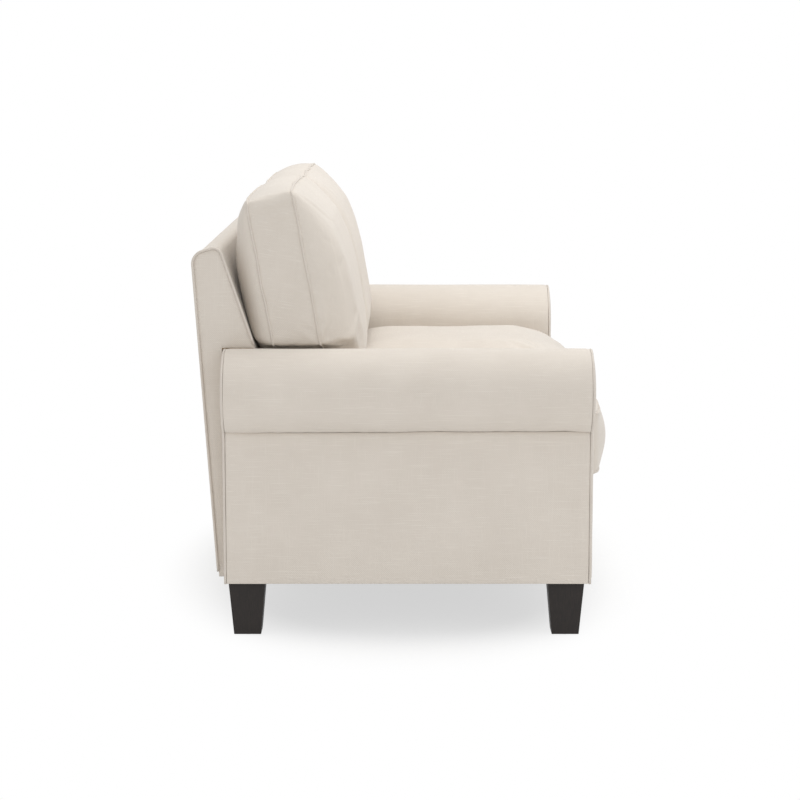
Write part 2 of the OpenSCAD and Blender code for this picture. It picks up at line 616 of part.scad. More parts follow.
module back_pad() color(foam) difference() {
    across(-wing_x + cover_t + ply_t + 3 * fit, wing_x - cover_t - ply_t - 3 * fit, [
        inside_at(deck_z + 2, cover_t + fit), inside_at(deck_z + 2, cover_t + fit + back_foam_t),
        inside_at(top_rail_z1, cover_t + fit + back_foam_t), inside_at(top_rail_z1, cover_t + fit)
    ]);
    arm_room();
}
back_arc_points = 2 * (arc_steps + 1);
module back_cover() color(fabric) difference() {
    across(-wing_x + cover_t + fit, wing_x - cover_t - fit, concat(
        part_of(back_outline(0), 1, back_arc_points + 1),
        reversed(part_of(back_outline(cover_t), 1, back_arc_points + 1))
    ));
    arm_room();
}
module outside_back() color(fabric) across(-wing_x + cover_t + fit, wing_x - cover_t - fit, [
    back_corners[0], outside_top - [0, fit], outside_top - [panel_t, fit], back_corners[0] - [panel_t, 0]
]);
module back_side_panels() color(fabric) both_sides() difference() {
    across(wing_x - cover_t, wing_x, back_outline(0));
    arm_room();
    block([x_in, 0, 0], [wing_x + 1, arm_len + arm_gap, roll_z]);
}
welt_foot_z = body_z + 12;
function welt_line(side) = let (
        off = welt_off, line = back_outline(-off),
        low = [outside_y(welt_foot_z) + off, welt_foot_z],
        high = inside_at(arm_top_z + arm_gap + welt_r + 1, -off)
    ) [for (p = concat([low], part_of(line, 1, back_arc_points), [high]))
        [side * (wing_x + off), p[0], p[1]]];
module back_welts() color(fabric) for (side = [-1, 1]) tube(welt_line(side), welt_r, 6);

// Legs
leg_x = x_out - leg_in_x - leg_top / 2;
leg_ys = [leg_in_front + leg_top / 2, arm_len - leg_in_rear - leg_top / 2];
leg_bolt_deep = 45;
module leg(side, end) color(stained) translate([side * leg_x, leg_ys[end], 0]) difference() {
    hull() {
        translate([0, 0, frame_z - fit - 0.5]) cube([leg_top, leg_top, 1], center = true);
        translate([0, 0, glide_t + fit + 0.5]) cube([leg_foot, leg_foot, 1], center = true);
    }
    translate([0, 0, frame_z - leg_bolt_deep])
        cylinder(r = bolt_r + 0.05, h = leg_bolt_deep + 5, $fn = 32);
    cylinder(r = 1.55, h = glide_t + 14, $fn = 24);
}
module leg_bolts() color(steel) both_sides() for (y = leg_ys) translate([leg_x, y, 0]) {
    translate([0, 0, frame_z - leg_bolt_deep + 2])
        cylinder(r = bolt_r, h = leg_bolt_deep + board_t + 8, $fn = 32);
    translate([0, 0, frame_z + board_t + fit]) cylinder(r = bolt_head_r, h = 4, $fn = 32);
}
module glides() color(nonwoven) both_sides() for (y = leg_ys) translate([leg_x, y, 0]) {
    cylinder(r = glide_r, h = glide_t, $fn = 48);
    cylinder(r = 1.5, h = glide_t + 12, $fn = 24);
}
module bolt(grip) {
    translate([0, 0, -bolt_head_t]) cylinder(r = bolt_head_r, h = bolt_head_t, $fn = 32);
    cylinder(r = bolt_r, h = grip + 8, $fn = 32);
    translate([0, 0, grip]) cylinder(r = bolt_head_r, h = bolt_head_t, $fn = 6);
}
module frame_bolts() color(steel) {
    both_sides() for (y = bolt_ys) translate([x_in - board_t - 2 * fit, y, bolt_z]) rotate([0, 90, 0])
        bolt(stump_x0 + board_t - x_in + board_t + 3 * fit);
    for (x = back_bolt_xs) translate([x, rear_rail_y - fit, bolt_z]) rotate([-90, 0, 0])
        bolt(2 * board_t + 3 * fit);
}

// Cushions
module seat_cushion_cover(side) color(fabric) at_seat(side) cushion_cover(seat_cushion, seat_core);
module seat_core_block(side) color(foam) at_seat(side) cube(seat_core, center = true);
module seat_welts(side) color(fabric) at_seat(side) cushion_welts(seat_cushion);
module seat_zip(side) color(lining) at_seat(side) translate([0, seat_half_y, 0]) zip_strip();
module seat_zip_slider(side) color(steel) at_seat(side) translate([0, seat_half_y, 0]) zip_slider();
module back_cushion_cover(side) color(fabric) at_back(side) cushion_cover(back_cushion, back_core);
module back_core_block(side) color(foam) at_back(side) cube(back_core, center = true);
module back_cushion_welts(side) color(fabric) at_back(side) cushion_welts(back_cushion);

placed() front_rail();
placed() rear_rail();
placed() side_rails();
placed() centre_rail();
placed() corner_blocks();
placed() seat_springs();
placed() spring_clips();
placed() deck_pad();
placed() deck_cover();
placed() front_border_pad();
placed() front_border_cover();
placed() dust_cover();
placed() arm_stumps(-1);  // arm_stumps_left
placed() arm_stumps(1);  // arm_stumps_right
placed() arm_rails(-1);  // arm_rails_left
placed() arm_rails(1);  // arm_rails_right
placed() arm_foam(-1);  // arm_foam_left
placed() arm_foam(1);  // arm_foam_right
placed() arm_cover(-1);  // arm_cover_left
placed() arm_cover(1);  // arm_cover_right
placed() arm_side_panel(-1);  // arm_side_panel_left
placed() arm_side_panel(1);  // arm_side_panel_right
placed() arm_front_facing(-1);  // arm_front_facing_left
placed() arm_front_facing(1);  // arm_front_facing_right
placed() arm_rear_facings();
placed() arm_welts(-1);  // arm_welts_left
placed() arm_welts(1);  // arm_welts_right
placed() back_ribs();
placed() back_rails();
placed() wing_frames();
placed() back_webbing();
placed() back_pad();
placed() back_cover();
placed() outside_back();
placed() back_side_panels();
placed() back_welts();
placed() leg(-1, 0);  // leg_front_left
placed() leg(1, 0);  // leg_front_right
placed() leg(-1, 1);  // leg_rear_left
placed() leg(1, 1);  // leg_rear_right
placed() leg_bolts();
placed() glides();
placed() frame_bolts();
placed() seat_cushion_cover(-1);  // seat_cushion_left
placed() seat_core_block(-1);  // seat_core_left
placed() seat_welts(-1);  // seat_welts_left
placed() seat_zip(-1);  // seat_zip_left
placed() seat_zip_slider(-1);  // seat_zip_slider_left
placed() seat_cushion_cover(1);  // seat_cushion_right
placed() seat_core_block(1);  // seat_core_right
placed() seat_welts(1);  // seat_welts_right
placed() seat_zip(1);  // seat_zip_right
placed() seat_zip_slider(1);  // seat_zip_slider_right
placed() back_cushion_cover(-1);  // back_cushion_left
placed() back_core_block(-1);  // back_core_left
placed() back_cushion_welts(-1);  // back_cushion_welts_left
placed() back_cushion_cover(1);  // back_cushion_right
placed() back_core_block(1);  // back_core_right
placed() back_cushion_welts(1);  // back_cushion_welts_right
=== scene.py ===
"""Looks of a rolled-arm loveseat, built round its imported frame.

Lengths are in metres. X runs across the width, the front faces -Y and Z is up.
"""

import json
import logging
import math
from contextlib import contextmanager
from dataclasses import dataclass, field
from enum import Enum
from typing import Callable, Iterator, Sequence

import bmesh
import bpy
import numpy as np
from mathutils import Matrix, Vector, noise
from mathutils.bvhtree import BVHTree


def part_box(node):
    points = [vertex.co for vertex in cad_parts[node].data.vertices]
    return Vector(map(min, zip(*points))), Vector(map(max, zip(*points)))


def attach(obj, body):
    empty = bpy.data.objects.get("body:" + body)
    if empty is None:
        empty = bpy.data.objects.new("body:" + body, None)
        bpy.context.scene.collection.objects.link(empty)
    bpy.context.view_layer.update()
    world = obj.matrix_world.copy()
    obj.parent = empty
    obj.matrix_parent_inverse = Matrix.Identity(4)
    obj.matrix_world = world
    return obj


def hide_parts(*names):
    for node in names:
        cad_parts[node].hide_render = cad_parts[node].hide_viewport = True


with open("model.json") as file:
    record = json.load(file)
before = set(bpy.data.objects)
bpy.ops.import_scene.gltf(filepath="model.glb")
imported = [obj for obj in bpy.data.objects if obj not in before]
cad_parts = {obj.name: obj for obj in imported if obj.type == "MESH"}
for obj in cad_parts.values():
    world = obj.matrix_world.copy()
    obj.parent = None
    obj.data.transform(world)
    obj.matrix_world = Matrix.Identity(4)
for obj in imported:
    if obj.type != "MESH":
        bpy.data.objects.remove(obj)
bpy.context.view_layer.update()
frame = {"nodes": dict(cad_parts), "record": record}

LOG = logging.getLogger("loveseat")
Shift = Callable[[Vector], Vector]


class Side(Enum):
    """A side of the loveseat and the sign of its X."""

    LEFT = -1
    RIGHT = 1

    @property
    def word(self) -> str:
        """The side's name as the frame's nodes spell it."""
        return self.name.lower()


class Element(Enum):
    """What an edit-mode selection picks."""

    VERT = "VERT"
    EDGE = "EDGE"
    FACE = "FACE"


# Colour and nodes


def linear(code: str) -> tuple[float, float, float, float]:
    """Turn an sRGB hex colour to linear light.

    Args:
        code: the colour as "#rrggbb".

    Returns:
        Linear red, green, blue and an alpha of one.
    """
    parts = [int(code[i : i + 2], 16) / 255 for i in (1, 3, 5)]
    light = [c / 12.92 if c <= 0.04045 else ((c + 0.055) / 1.055) ** 2.4 for c in parts]
    return (*light, 1.0)


def add_node(tree: bpy.types.NodeTree, kind: str, sets: dict | None = None,
             links: dict | None = None) -> bpy.types.Node:
    """Add one node with its settings and its links.

    Args:
        tree: the node tree that gets the node.
        kind: the node's type name.
        sets: attribute names, or socket names or numbers, and their values.
        links: socket names or numbers, and the output sockets that feed them.

    Returns:
        The new node.
    """
    node = tree.nodes.new(kind)
    for key, value in (sets or {}).items():
        if isinstance(key, str) and hasattr(node, key):
            setattr(node, key, value)
        else:
            node.inputs[key].default_value = value
    for key, source in (links or {}).items():
        tree.links.new(source, node.inputs[key])
    return node


def new_tree(name: str) -> tuple[bpy.types.Material, bpy.types.NodeTree, bpy.types.Node]:
    """Make an empty node material.

    Args:
        name: the material's name.

    Returns:
        The material, its tree and its output node.
    """
    material = bpy.data.materials.new(name)
    material.use_nodes = True
    tree = material.node_tree
    tree.nodes.clear()
    return material, tree, add_node(tree, "ShaderNodeOutputMaterial")


# Finishes


@dataclass(frozen=True)
class WovenCloth:
    """A plain-weave cloth whose threads run along the axes of the face that they cover.

    Upholstery linen blend: spun yarns of uneven thickness, so pale slubs streak both ways and the
    cloth is matt with a faint fuzz of fibre at its edges. The yarns are drawn thread_mm apart, which is
    coarse enough to show.
    """

    name: str
    ground: str
    slub: str
    # The darker tone: the clouds of the dye, and painted shade in the hollows of the weave
    dye_cloud_and_shade: str
    thread_mm: float = 2.2
    slub_length_mm: float = 60.0
    slub_width_mm: float = 1.6
    slub_show: float = 0.30
    # How much of the slubs shows in the upright yarns
    upright: float = 0.55
    depth_mm: float = 0.22
    fuzz: float = 0.22
    rough: float = 0.92
    turn_x: float = 0.0
    # Where in the noise a slub begins and where it is full
    slub_range: tuple[float, float] = (0.56, 0.74)
    # How far the clouds of the dye go towards the darker tone, and how far the painted shade in the hollows
    # between the threads does
    cloudy: float = 0.25
    hollow_shade: float = 0.3
    # How high a slub stands beside the over and under of the weave
    slub_height: float = 0.8
    sheen_rough: float = 0.45
    specular: float = 0.25

    def weight_of_faces(self, tree: bpy.types.NodeTree) -> list[bpy.types.NodeSocket]:
        """Give how far a face looks along each axis, as squares that add up to one.

        Args:
            tree: the material's tree.

        Returns:
            Three outputs, for X, Y and Z.
        """
        shape = add_node(tree, "ShaderNodeTexCoord")
        square = add_node(tree, "ShaderNodeVectorMath", {"operation": "MULTIPLY"},
                          {0: shape.outputs["Normal"], 1: shape.outputs["Normal"]})
        return list(add_node(tree, "ShaderNodeSeparateXYZ", links={0: square.outputs[0]}).outputs)

    def streaks(self, tree: bpy.types.NodeTree, place: bpy.types.NodeSocket,
                axis: int) -> bpy.types.NodeSocket:
        """Draw slubs that run along one axis.

        Args:
            tree: the material's tree.
            place: the position that the pattern reads.
            axis: 0, 1 or 2 for X, Y or Z.

        Returns:
            An output from 0, plain, to 1, full slub.
        """
        step = [1000 / self.slub_width_mm] * 3
        step[axis] = 1000 / self.slub_length_mm
        # Each axis reads the noise elsewhere, so that its slubs don't repeat another's
        move = add_node(tree, "ShaderNodeVectorMath",
                        {"operation": "MULTIPLY_ADD", 1: step, 2: (7.3 * axis, 3.1, 5.7)}, {0: place})
        spots = add_node(tree, "ShaderNodeTexNoise", {"Scale": 1.0, "Detail": 1.0, "Roughness": 0.4},
                         {"Vector": move.outputs[0]})
        begin, full = self.slub_range
        ramp = add_node(tree, "ShaderNodeMapRange", {"From Min": begin, "From Max": full},
                        {"Value": spots.outputs[0]})
        return ramp.outputs[0]

    def build(self) -> bpy.types.Material:
        """Make the node material.

        Returns:
            The material.
        """
        material, tree, out = new_tree(self.name)
        coord = add_node(tree, "ShaderNodeTexCoord")
        turned = add_node(tree, "ShaderNodeMapping", {"Rotation": (self.turn_x, 0.0, 0.0)},
                          {"Vector": coord.outputs["Object"]})
        place = turned.outputs[0]
        faces = self.weight_of_faces(tree)

        # Threads: the product of two waves is the over and under of a plain weave
        wave = math.pi / (self.thread_mm / 1000)
        phase = add_node(tree, "ShaderNodeVectorMath", {"operation": "MULTIPLY", 1: (wave, wave, wave)},
                         {0: place})
        sine = add_node(tree, "ShaderNodeVectorMath", {"operation": "SINE"}, {0: phase.outputs[0]})
        x, y, z = add_node(tree, "ShaderNodeSeparateXYZ", links={0: sine.outputs[0]}).outputs
        weave = None
        for pair, face in (((y, z), faces[0]), ((x, z), faces[1]), ((x, y), faces[2])):
            cross = add_node(tree, "ShaderNodeMath", {"operation": "MULTIPLY"}, {0: pair[0], 1: pair[1]})
            share = add_node(tree, "ShaderNodeMath", {"operation": "MULTIPLY"},
                             {0: cross.outputs[0], 1: face})
            if weave is None:
                weave = share.outputs[0]
            else:
                weave = add_node(tree, "ShaderNodeMath", {"operation": "ADD"},
                                 {0: weave, 1: share.outputs[0]}).outputs[0]

        # Slubs along each axis, dropped on the faces that this axis runs into
        slubs = None
        for axis in range(3):
            shown = add_node(tree, "ShaderNodeMath", {"operation": "SUBTRACT", 0: 1.0, "use_clamp": True},
                             {1: faces[axis]})
            if axis == 2:
                shown = add_node(tree, "ShaderNodeMath", {"operation": "MULTIPLY", 1: self.upright},
                                 {0: shown.outputs[0]})
            share = add_node(tree, "ShaderNodeMath", {"operation": "MULTIPLY"},
                             {0: self.streaks(tree, place, axis), 1: shown.outputs[0]})
            if slubs is None:
                slubs = share.outputs[0]
            else:
                slubs = add_node(tree, "ShaderNodeMath", {"operation": "MAXIMUM"},
                                 {0: slubs, 1: share.outputs[0]}).outputs[0]

        # Dye and wear vary softly over a hand's width
        cloudy = add_node(tree, "ShaderNodeTexNoise", {"Scale": 9.0, "Detail": 3.0, "Roughness": 0.55},
                          {"Vector": place})
        cloud = add_node(tree, "ShaderNodeMapRange",
                         {"From Min": 0.3, "From Max": 0.7, "To Min": 0.0, "To Max": self.cloudy},
                         {"Value": cloudy.outputs[0]})
        # Painted shade: the hollows between the threads are darkened towards the darker tone
        dip = add_node(tree, "ShaderNodeMapRange",
                       {"From Min": -1.0, "From Max": 1.0, "To Min": self.hollow_shade, "To Max": 0.0},
                       {"Value": weave})
        shade = add_node(tree, "ShaderNodeMath", {"operation": "ADD", "use_clamp": True},
                         {0: cloud.outputs[0], 1: dip.outputs[0]})
        ground = add_node(tree, "ShaderNodeMix",
                          {"data_type": "RGBA", 6: linear(self.ground), 7: linear(self.dye_cloud_and_shade)},
                          {0: shade.outputs[0]})
        amount = add_node(tree, "ShaderNodeMath", {"operation": "MULTIPLY", 1: self.slub_show}, {0: slubs})
        colour = add_node(tree, "ShaderNodeMix", {"data_type": "RGBA", 7: linear(self.slub)},
                          {0: amount.outputs[0], 6: ground.outputs[2]})

        height = add_node(tree, "ShaderNodeMath", {"operation": "MULTIPLY_ADD", 1: self.slub_height},
                          {0: slubs, 2: weave})
        bump = add_node(tree, "ShaderNodeBump", {"Strength": 0.5, "Distance": self.depth_mm / 1000},
                        {"Height": height.outputs[0]})
        cloth = add_node(tree, "ShaderNodeBsdfPrincipled", {
            "Roughness": self.rough, "Specular IOR Level": self.specular, "Sheen Weight": self.fuzz,
            "Sheen Roughness": self.sheen_rough,
        }, {"Base Color": colour.outputs[2], "Normal": bump.outputs[0]})
        tree.links.new(cloth.outputs[0], out.inputs[0])
        return material


@dataclass(frozen=True)
class StainedWood:
    """Wood with a long fine grain: dark under a stain and a satin lacquer, or pale, planed and bare."""

    name: str
    stain: str
    grain: str
    grain_mm: float = 1.6
    figure_mm: float = 60.0
    rough: float = 0.38
    coat: float = 0.25
    shine: float = 0.5
    along: int = 2
    # Where in the noise the grain begins and where it is full, and how much rougher it is there
    grain_range: tuple[float, float] = (0.35, 0.7)
    grain_rough: float = 0.14
    coat_rough: float = 0.3
    depth_mm: float = 0.2

    def build(self) -> bpy.types.Material:
        """Make the node material.

        Returns:
            The material.
        """
        material, tree, out = new_tree(self.name)
        place = add_node(tree, "ShaderNodeTexCoord").outputs["Object"]
        step = [1000 / self.grain_mm] * 3
        step[self.along] = 1000 / self.figure_mm
        move = add_node(tree, "ShaderNodeVectorMath", {"operation": "MULTIPLY", 1: step}, {0: place})
        lines = add_node(tree, "ShaderNodeTexNoise",
                         {"Scale": 1.0, "Detail": 4.0, "Roughness": 0.6, "Distortion": 0.4},
                         {"Vector": move.outputs[0]})
        begin, full = self.grain_range
        share = add_node(tree, "ShaderNodeMapRange", {"From Min": begin, "From Max": full},
                         {"Value": lines.outputs[0]})
        colour = add_node(tree, "ShaderNodeMix",
                          {"data_type": "RGBA", 6: linear(self.stain), 7: linear(self.grain)},
                          {0: share.outputs[0]})
        polish = add_node(tree, "ShaderNodeMapRange",
                          {"To Min": self.rough, "To Max": self.rough + self.grain_rough},
                          {"Value": lines.outputs[0]})
        bump = add_node(tree, "ShaderNodeBump", {"Strength": 0.25, "Distance": self.depth_mm / 1000},
                        {"Height": lines.outputs[0]})
        wood = add_node(
            tree, "ShaderNodeBsdfPrincipled",
            {"IOR": 1.5, "Specular IOR Level": self.shine, "Coat Weight": self.coat,
             "Coat Roughness": self.coat_rough},
            {"Base Color": colour.outputs[2], "Roughness": polish.outputs[0], "Normal": bump.outputs[0]})
        tree.links.new(wood.outputs[0], out.inputs[0])
        return material


@dataclass(frozen=True)
class GrainySurface:
    """A plain surface with a fine grain, for foam, spun fibre, moulded plastic and plated steel."""

    name: str
    tone: str
    speck: str
    grain_mm: float
    depth_mm: float
    rough: float
    metal: float = 0.0
    stretch: tuple[float, float, float] = (1.0, 1.0, 1.0)
    # How much smoother and rougher than the rest the grain may be
    spread: float = 0.06

    def build(self) -> bpy.types.Material:
        """Make the node material.

        Returns:
            The material.
        """
        material, tree, out = new_tree(self.name)
        place = add_node(tree, "ShaderNodeTexCoord").outputs["Object"]
        step = [1000 / self.grain_mm / s for s in self.stretch]
        move = add_node(tree, "ShaderNodeVectorMath", {"operation": "MULTIPLY", 1: step}, {0: place})
        grain = add_node(tree, "ShaderNodeTexNoise", {"Scale": 1.0, "Detail": 2.0},
                         {"Vector": move.outputs[0]})
        colour = add_node(tree, "ShaderNodeMix",
                          {"data_type": "RGBA", 6: linear(self.tone), 7: linear(self.speck)},
                          {0: grain.outputs[0]})
        polish = add_node(tree, "ShaderNodeMapRange",
                          {"To Min": self.rough - self.spread, "To Max": self.rough + self.spread},
                          {"Value": grain.outputs[0]})
        bump = add_node(tree, "ShaderNodeBump", {"Strength": 0.5, "Distance": self.depth_mm / 1000},
                        {"Height": grain.outputs[0]})
        skin = add_node(
            tree, "ShaderNodeBsdfPrincipled", {"Metallic": self.metal},
            {"Base Color": colour.outputs[2], "Roughness": polish.outputs[0], "Normal": bump.outputs[0]})
        tree.links.new(skin.outputs[0], out.inputs[0])
        return material


CUSHION_LEAN = math.radians(10.2)


class Finish(Enum):
    """Every finish on the loveseat, named for its material."""

    LINEN = WovenCloth("oatmeal_linen_weave", "#dcd4ca", "#ebe5dc", "#c9c0b5")
    LEANING_LINEN = WovenCloth("oatmeal_linen_weave_leaning", "#dcd4ca", "#ebe5dc", "#c9c0b5",
                               turn_x=-CUSHION_LEAN)
    PIPING = WovenCloth("oatmeal_linen_piping", "#dad2c8", "#e9e3da", "#c4bab0", thread_mm=1.6, depth_mm=0.3)
    COTTON = WovenCloth("unbleached_cotton_lining", "#cfc8ba", "#ddd7cb", "#b9b1a2", thread_mm=1.8,
                        slub_width_mm=1.2, fuzz=0.1)
    JUTE = WovenCloth("jute_webbing", "#b79e78", "#cdb791", "#8d7654", thread_mm=3.0, depth_mm=0.5, fuzz=0.1)
    # Beech under espresso stain: almost black, with a satin lacquer that keeps its highlights soft
    LEG_WOOD = StainedWood("espresso_stained_beech", "#1f1b19", "#2c2623", rough=0.5, coat=0.06, shine=0.3)
    # Planed poplar boards without a finish: pale and dry
    FRAME_WOOD = StainedWood("planed_poplar", "#c9a877", "#a98657", rough=0.7, coat=0.0, along=1)
    # Open-cell polyurethane foam: cream, yellowing, matt
    FOAM = GrainySurface("polyurethane_foam", "#e9ddb4", "#d8c896", 1.4, 0.5, 0.95)
    # Spun-bonded polypropylene, black, with a faint emboss
    FELT = GrainySurface("spunbonded_polypropylene", "#1d1d1f", "#2a2a2c", 1.2, 0.2, 0.85)
    # Moulded polypropylene with a fine spark-eroded texture
    PLASTIC = GrainySurface("moulded_black_polypropylene", "#191919", "#222222", 0.5, 0.05, 0.5)
    # Zinc-plated steel wire, drawn, so it is faintly streaked
    STEEL = GrainySurface("zinc_plated_steel", "#a9adb3", "#8d9197", 0.8, 0.02, 0.35, metal=1.0,
                          stretch=(6.0, 6.0, 1.0))

    def material(self) -> bpy.types.Material:
        """The finish's material, made once."""
        return bpy.data.materials.get(self.value.name) or self.value.build()


# Edit-mode tools


def choose(obj: bpy.types.Object | None) -> None:
    """Select one object alone, in object mode.

    Args:
        obj: the object, or None to select nothing.
    """
    if bpy.context.object and bpy.context.object.mode != "OBJECT":
        bpy.ops.object.mode_set(mode="OBJECT")
    bpy.ops.object.select_all(action="DESELECT")
    if obj is not None:
        obj.select_set(True)
        bpy.context.view_layer.objects.active = obj


@contextmanager
def editing(obj: bpy.types.Object, element: Element = Element.VERT) -> Iterator[None]:
    """Edit an object's mesh, with nothing selected at first.

    Args:
        obj: the object to edit.
        element: what the selection picks.
    """
    choose(obj)
    bpy.ops.object.mode_set(mode="EDIT")
    bpy.ops.mesh.select_mode(type=element.value)
    bpy.ops.mesh.select_all(action="DESELECT")
    yield
    bpy.ops.object.mode_set(mode="OBJECT")


def pick(obj: bpy.types.Object, element: Element, test: Callable) -> int:
    """Select what passes a test, in edit mode.

    Args:
        obj: the object being edited.
        element: vertices, edges or faces.
        test: takes a bmesh element and says whether it is picked.

    Returns:
        How many were picked.
    """
    mesh = bmesh.from_edit_mesh(obj.data)
    group = {Element.VERT: mesh.verts, Element.EDGE: mesh.edges, Element.FACE: mesh.faces}[element]
    found = 0
    for item in group:
        wanted = bool(test(item))
        item.select_set(wanted)
        found += wanted
    bmesh.update_edit_mesh(obj.data)
    return found


def name_last(name: str) -> bpy.types.Object:
    """Name the object that was just added.

    Args:
        name: its new name.

    Returns:
        The object, with its place, turn and scale put into its mesh.
    """
    obj = bpy.context.object
    obj.name = name
    obj.data.name = name
    bpy.ops.object.transform_apply(location=True, rotation=True, scale=True)
    return obj


def new_grid(name: str, across: int, up: int) -> bpy.types.Object:
    """Add a grid, one metre by one, about the origin.

    Args:
        name: the new object's name.
        across: how many squares it has along X.
        up: how many squares it has along Y.

    Returns:
        The grid.
    """
    choose(None)
    bpy.ops.mesh.primitive_grid_add(x_subdivisions=across, y_subdivisions=up, size=1, location=(0, 0, 0))
    return name_last(name)


def new_block(name: str, middle: Sequence[float], size: Sequence[float]) -> bpy.types.Object:
    """Add a block that a piece is cut from.

    Args:
        name: the new object's name.
        middle: where its middle lies.
        size: its size along X, Y and Z.

    Returns:
        The block.
    """
    choose(None)
    bpy.ops.mesh.primitive_cube_add(size=1, location=middle, scale=size)
    return name_last(name)


def join(parts: Sequence[bpy.types.Object], name: str) -> bpy.types.Object:
    """Join objects into the first of them.

    Args:
        parts: the objects.
        name: the name of the whole.

    Returns:
        The whole.
    """
    choose(parts[0])
    for part in parts[1:]:
        part.select_set(True)
    bpy.ops.object.join()
    whole = bpy.context.object
    whole.name = whole.data.name = name
    return whole


def edge_line(name: str, start: Vector, end: Vector) -> bpy.types.Object:
    """Add a single edge, left over from a plane.

    Args:
        name: the new object's name.
        start: one end.
        end: the other end.

    Returns:
        The object, in object mode.
    """
    choose(None)
    bpy.ops.mesh.primitive_plane_add(size=2, location=(0, 0, 0))
    obj = name_last(name)
    with editing(obj):
        pick(obj, Element.VERT, lambda v: v.co.y > 0)
        bpy.ops.mesh.delete(type="VERT")
    middle, half = (start + end) / 2, (end - start) / 2
    for v in obj.data.vertices:
        v.co = middle + half * (1 if v.co.x > 0 else -1)
    return obj


def pull_sheet(name: str, start: Vector, end: Vector, path: Sequence[Vector], cuts: int) -> bpy.types.Object:
    """Pull an edge along a path by extruding it, which gives a sheet, and cut it across.

    Args:
        name: the new object's name.
        start: one end of the edge, at the path's first point.
        end: the edge's other end.
        path: the points that the edge's start passes.
        cuts: how many times the edge's length is cut.

    Returns:
        The sheet, in object mode.
    """
    obj = edge_line(name, start, end)
    with editing(obj, Element.EDGE):
        bpy.ops.mesh.select_all(action="SELECT")
        for a, b in zip(path, path[1:]):
            bpy.ops.mesh.extrude_region_move(TRANSFORM_OT_translate={"value": b - a})
        along = (end - start).normalized()
        pick(obj, Element.EDGE,
             lambda e: abs((e.verts[0].co - e.verts[1].co).normalized().dot(along)) > 0.999)
        bpy.ops.mesh.subdivide(number_cuts=cuts)
    return obj


def chain(name: str, points: Sequence[Vector], closed: bool = False) -> bpy.types.Object:
    """Draw a line of edges by extruding a vertex from point to point.

    Args:
        name: the new object's name.
        points: the line's points.
        closed: whether the last point joins the first.

    Returns:
        The line, in object mode.
    """
    obj = edge_line(name, points[0], points[1])
    with editing(obj):
        last = points[1]
        pick(obj, Element.VERT, lambda v: (v.co - last).length < 1e-7)
        for a, b in zip(points[1:], points[2:]):
            bpy.ops.mesh.extrude_region_move(TRANSFORM_OT_translate={"value": b - a})
        if closed:
            first, last = points[0], points[-1]
            pick(obj, Element.VERT, lambda v: min((v.co - first).length, (v.co - last).length) < 1e-6)
            bpy.ops.mesh.edge_face_add()
    return obj


def cord_along(name: str, points: Sequence[Vector], radius: float, closed: bool = False) -> bpy.types.Object:
    """Make a round cord along a line.

    Args:
        name: the new object's name.
        points: the line's points.
        radius: the cord's radius.
        closed: whether the cord is a ring.

    Returns:
        The cord as a mesh.
    """
    obj = chain(name, points, closed)
    choose(obj)
    bpy.ops.object.convert(target="CURVE")
    obj.data.bevel_depth = radius
    obj.data.bevel_resolution = 2
    obj.data.use_fill_caps = True
    bpy.ops.object.convert(target="MESH")
    obj = bpy.context.object
    turn_outwards(obj)
    bpy.ops.object.shade_smooth()
    return obj


def turn_outwards(obj: bpy.types.Object) -> None:
    """Merge an object's doubles and turn its faces outwards.

    Args:
        obj: the object.
    """
    with editing(obj):
        bpy.ops.mesh.select_all(action="SELECT")
        bpy.ops.mesh.remove_doubles(threshold=1e-6)
        bpy.ops.mesh.normals_make_consistent(inside=False)


def apply_modifier(obj: bpy.types.Object, kind: str, **settings: object) -> None:
    """Add a modifier and apply it.

    Args:
        obj: the object.
        kind: the modifier's type.
        settings: its settings.
    """
    choose(obj)
    modifier = obj.modifiers.new(kind.lower(), kind)
    for key, value in settings.items():
        setattr(modifier, key, value)
    bpy.ops.object.modifier_apply(modifier=modifier.name)


def turn_to(obj: bpy.types.Object, way: Vector) -> None:
    """Turn a sheet's faces so that the one furthest along a direction looks that way.

    Args:
        obj: the sheet.
        way: the direction.
    """
    with editing(obj, Element.FACE):
        bpy.ops.mesh.select_all(action="SELECT")
        bpy.ops.mesh.normals_make_consistent(inside=False)
        far = max(bmesh.from_edit_mesh(obj.data).faces, key=lambda f: f.calc_center_median().dot(way))
        if far.normal.dot(way) < 0:
            bpy.ops.mesh.flip_normals()


def thicken(obj: bpy.types.Object, thickness: float, rim: float = 0.0,
            sharp: float = 50.0) -> bpy.types.Object:
    """Give a sheet its thickness behind its face, and smooth it.

    Args:
        obj: the sheet.
        thickness: how thick it gets.
        rim: how far its rim is rounded; 0 leaves it square.
        sharp: the angle, in degrees, from which an edge stays sharp.

    Returns:
        The finished sheet.
    """
    apply_modifier(obj, "SOLIDIFY", thickness=thickness, offset=-1.0)
    if rim:
        apply_modifier(obj, "BEVEL", width=rim, segments=2, limit_method="ANGLE",
                       angle_limit=math.radians(60))
    choose(obj)
    bpy.ops.object.shade_smooth_by_angle(angle=math.radians(sharp))
    return obj


def ease(obj: bpy.types.Object, shift: Shift) -> None:
    """Ease every vertex of a piece, as when cloth is smoothed over a pad.

    Args:
        obj: the object.
        shift: takes a vertex's place and gives its new place.
    """
    for v in obj.data.vertices:
        v.co = shift(v.co)
    obj.data.update()


def points_of(obj: bpy.types.Object) -> np.ndarray:
    """Read a mesh's points, one row each."""
    flat = np.empty(len(obj.data.vertices) * 3, np.float32)
    obj.data.vertices.foreach_get("co", flat)
    return flat.reshape(-1, 3).astype(float)


def set_points(obj: bpy.types.Object, points: np.ndarray) -> None:
    """Move a mesh's points.

    Args:
        obj: the object.
        points: the new places, one row each.
    """
    obj.data.vertices.foreach_set("co", points.astype(np.float32).ravel())
    obj.data.update()


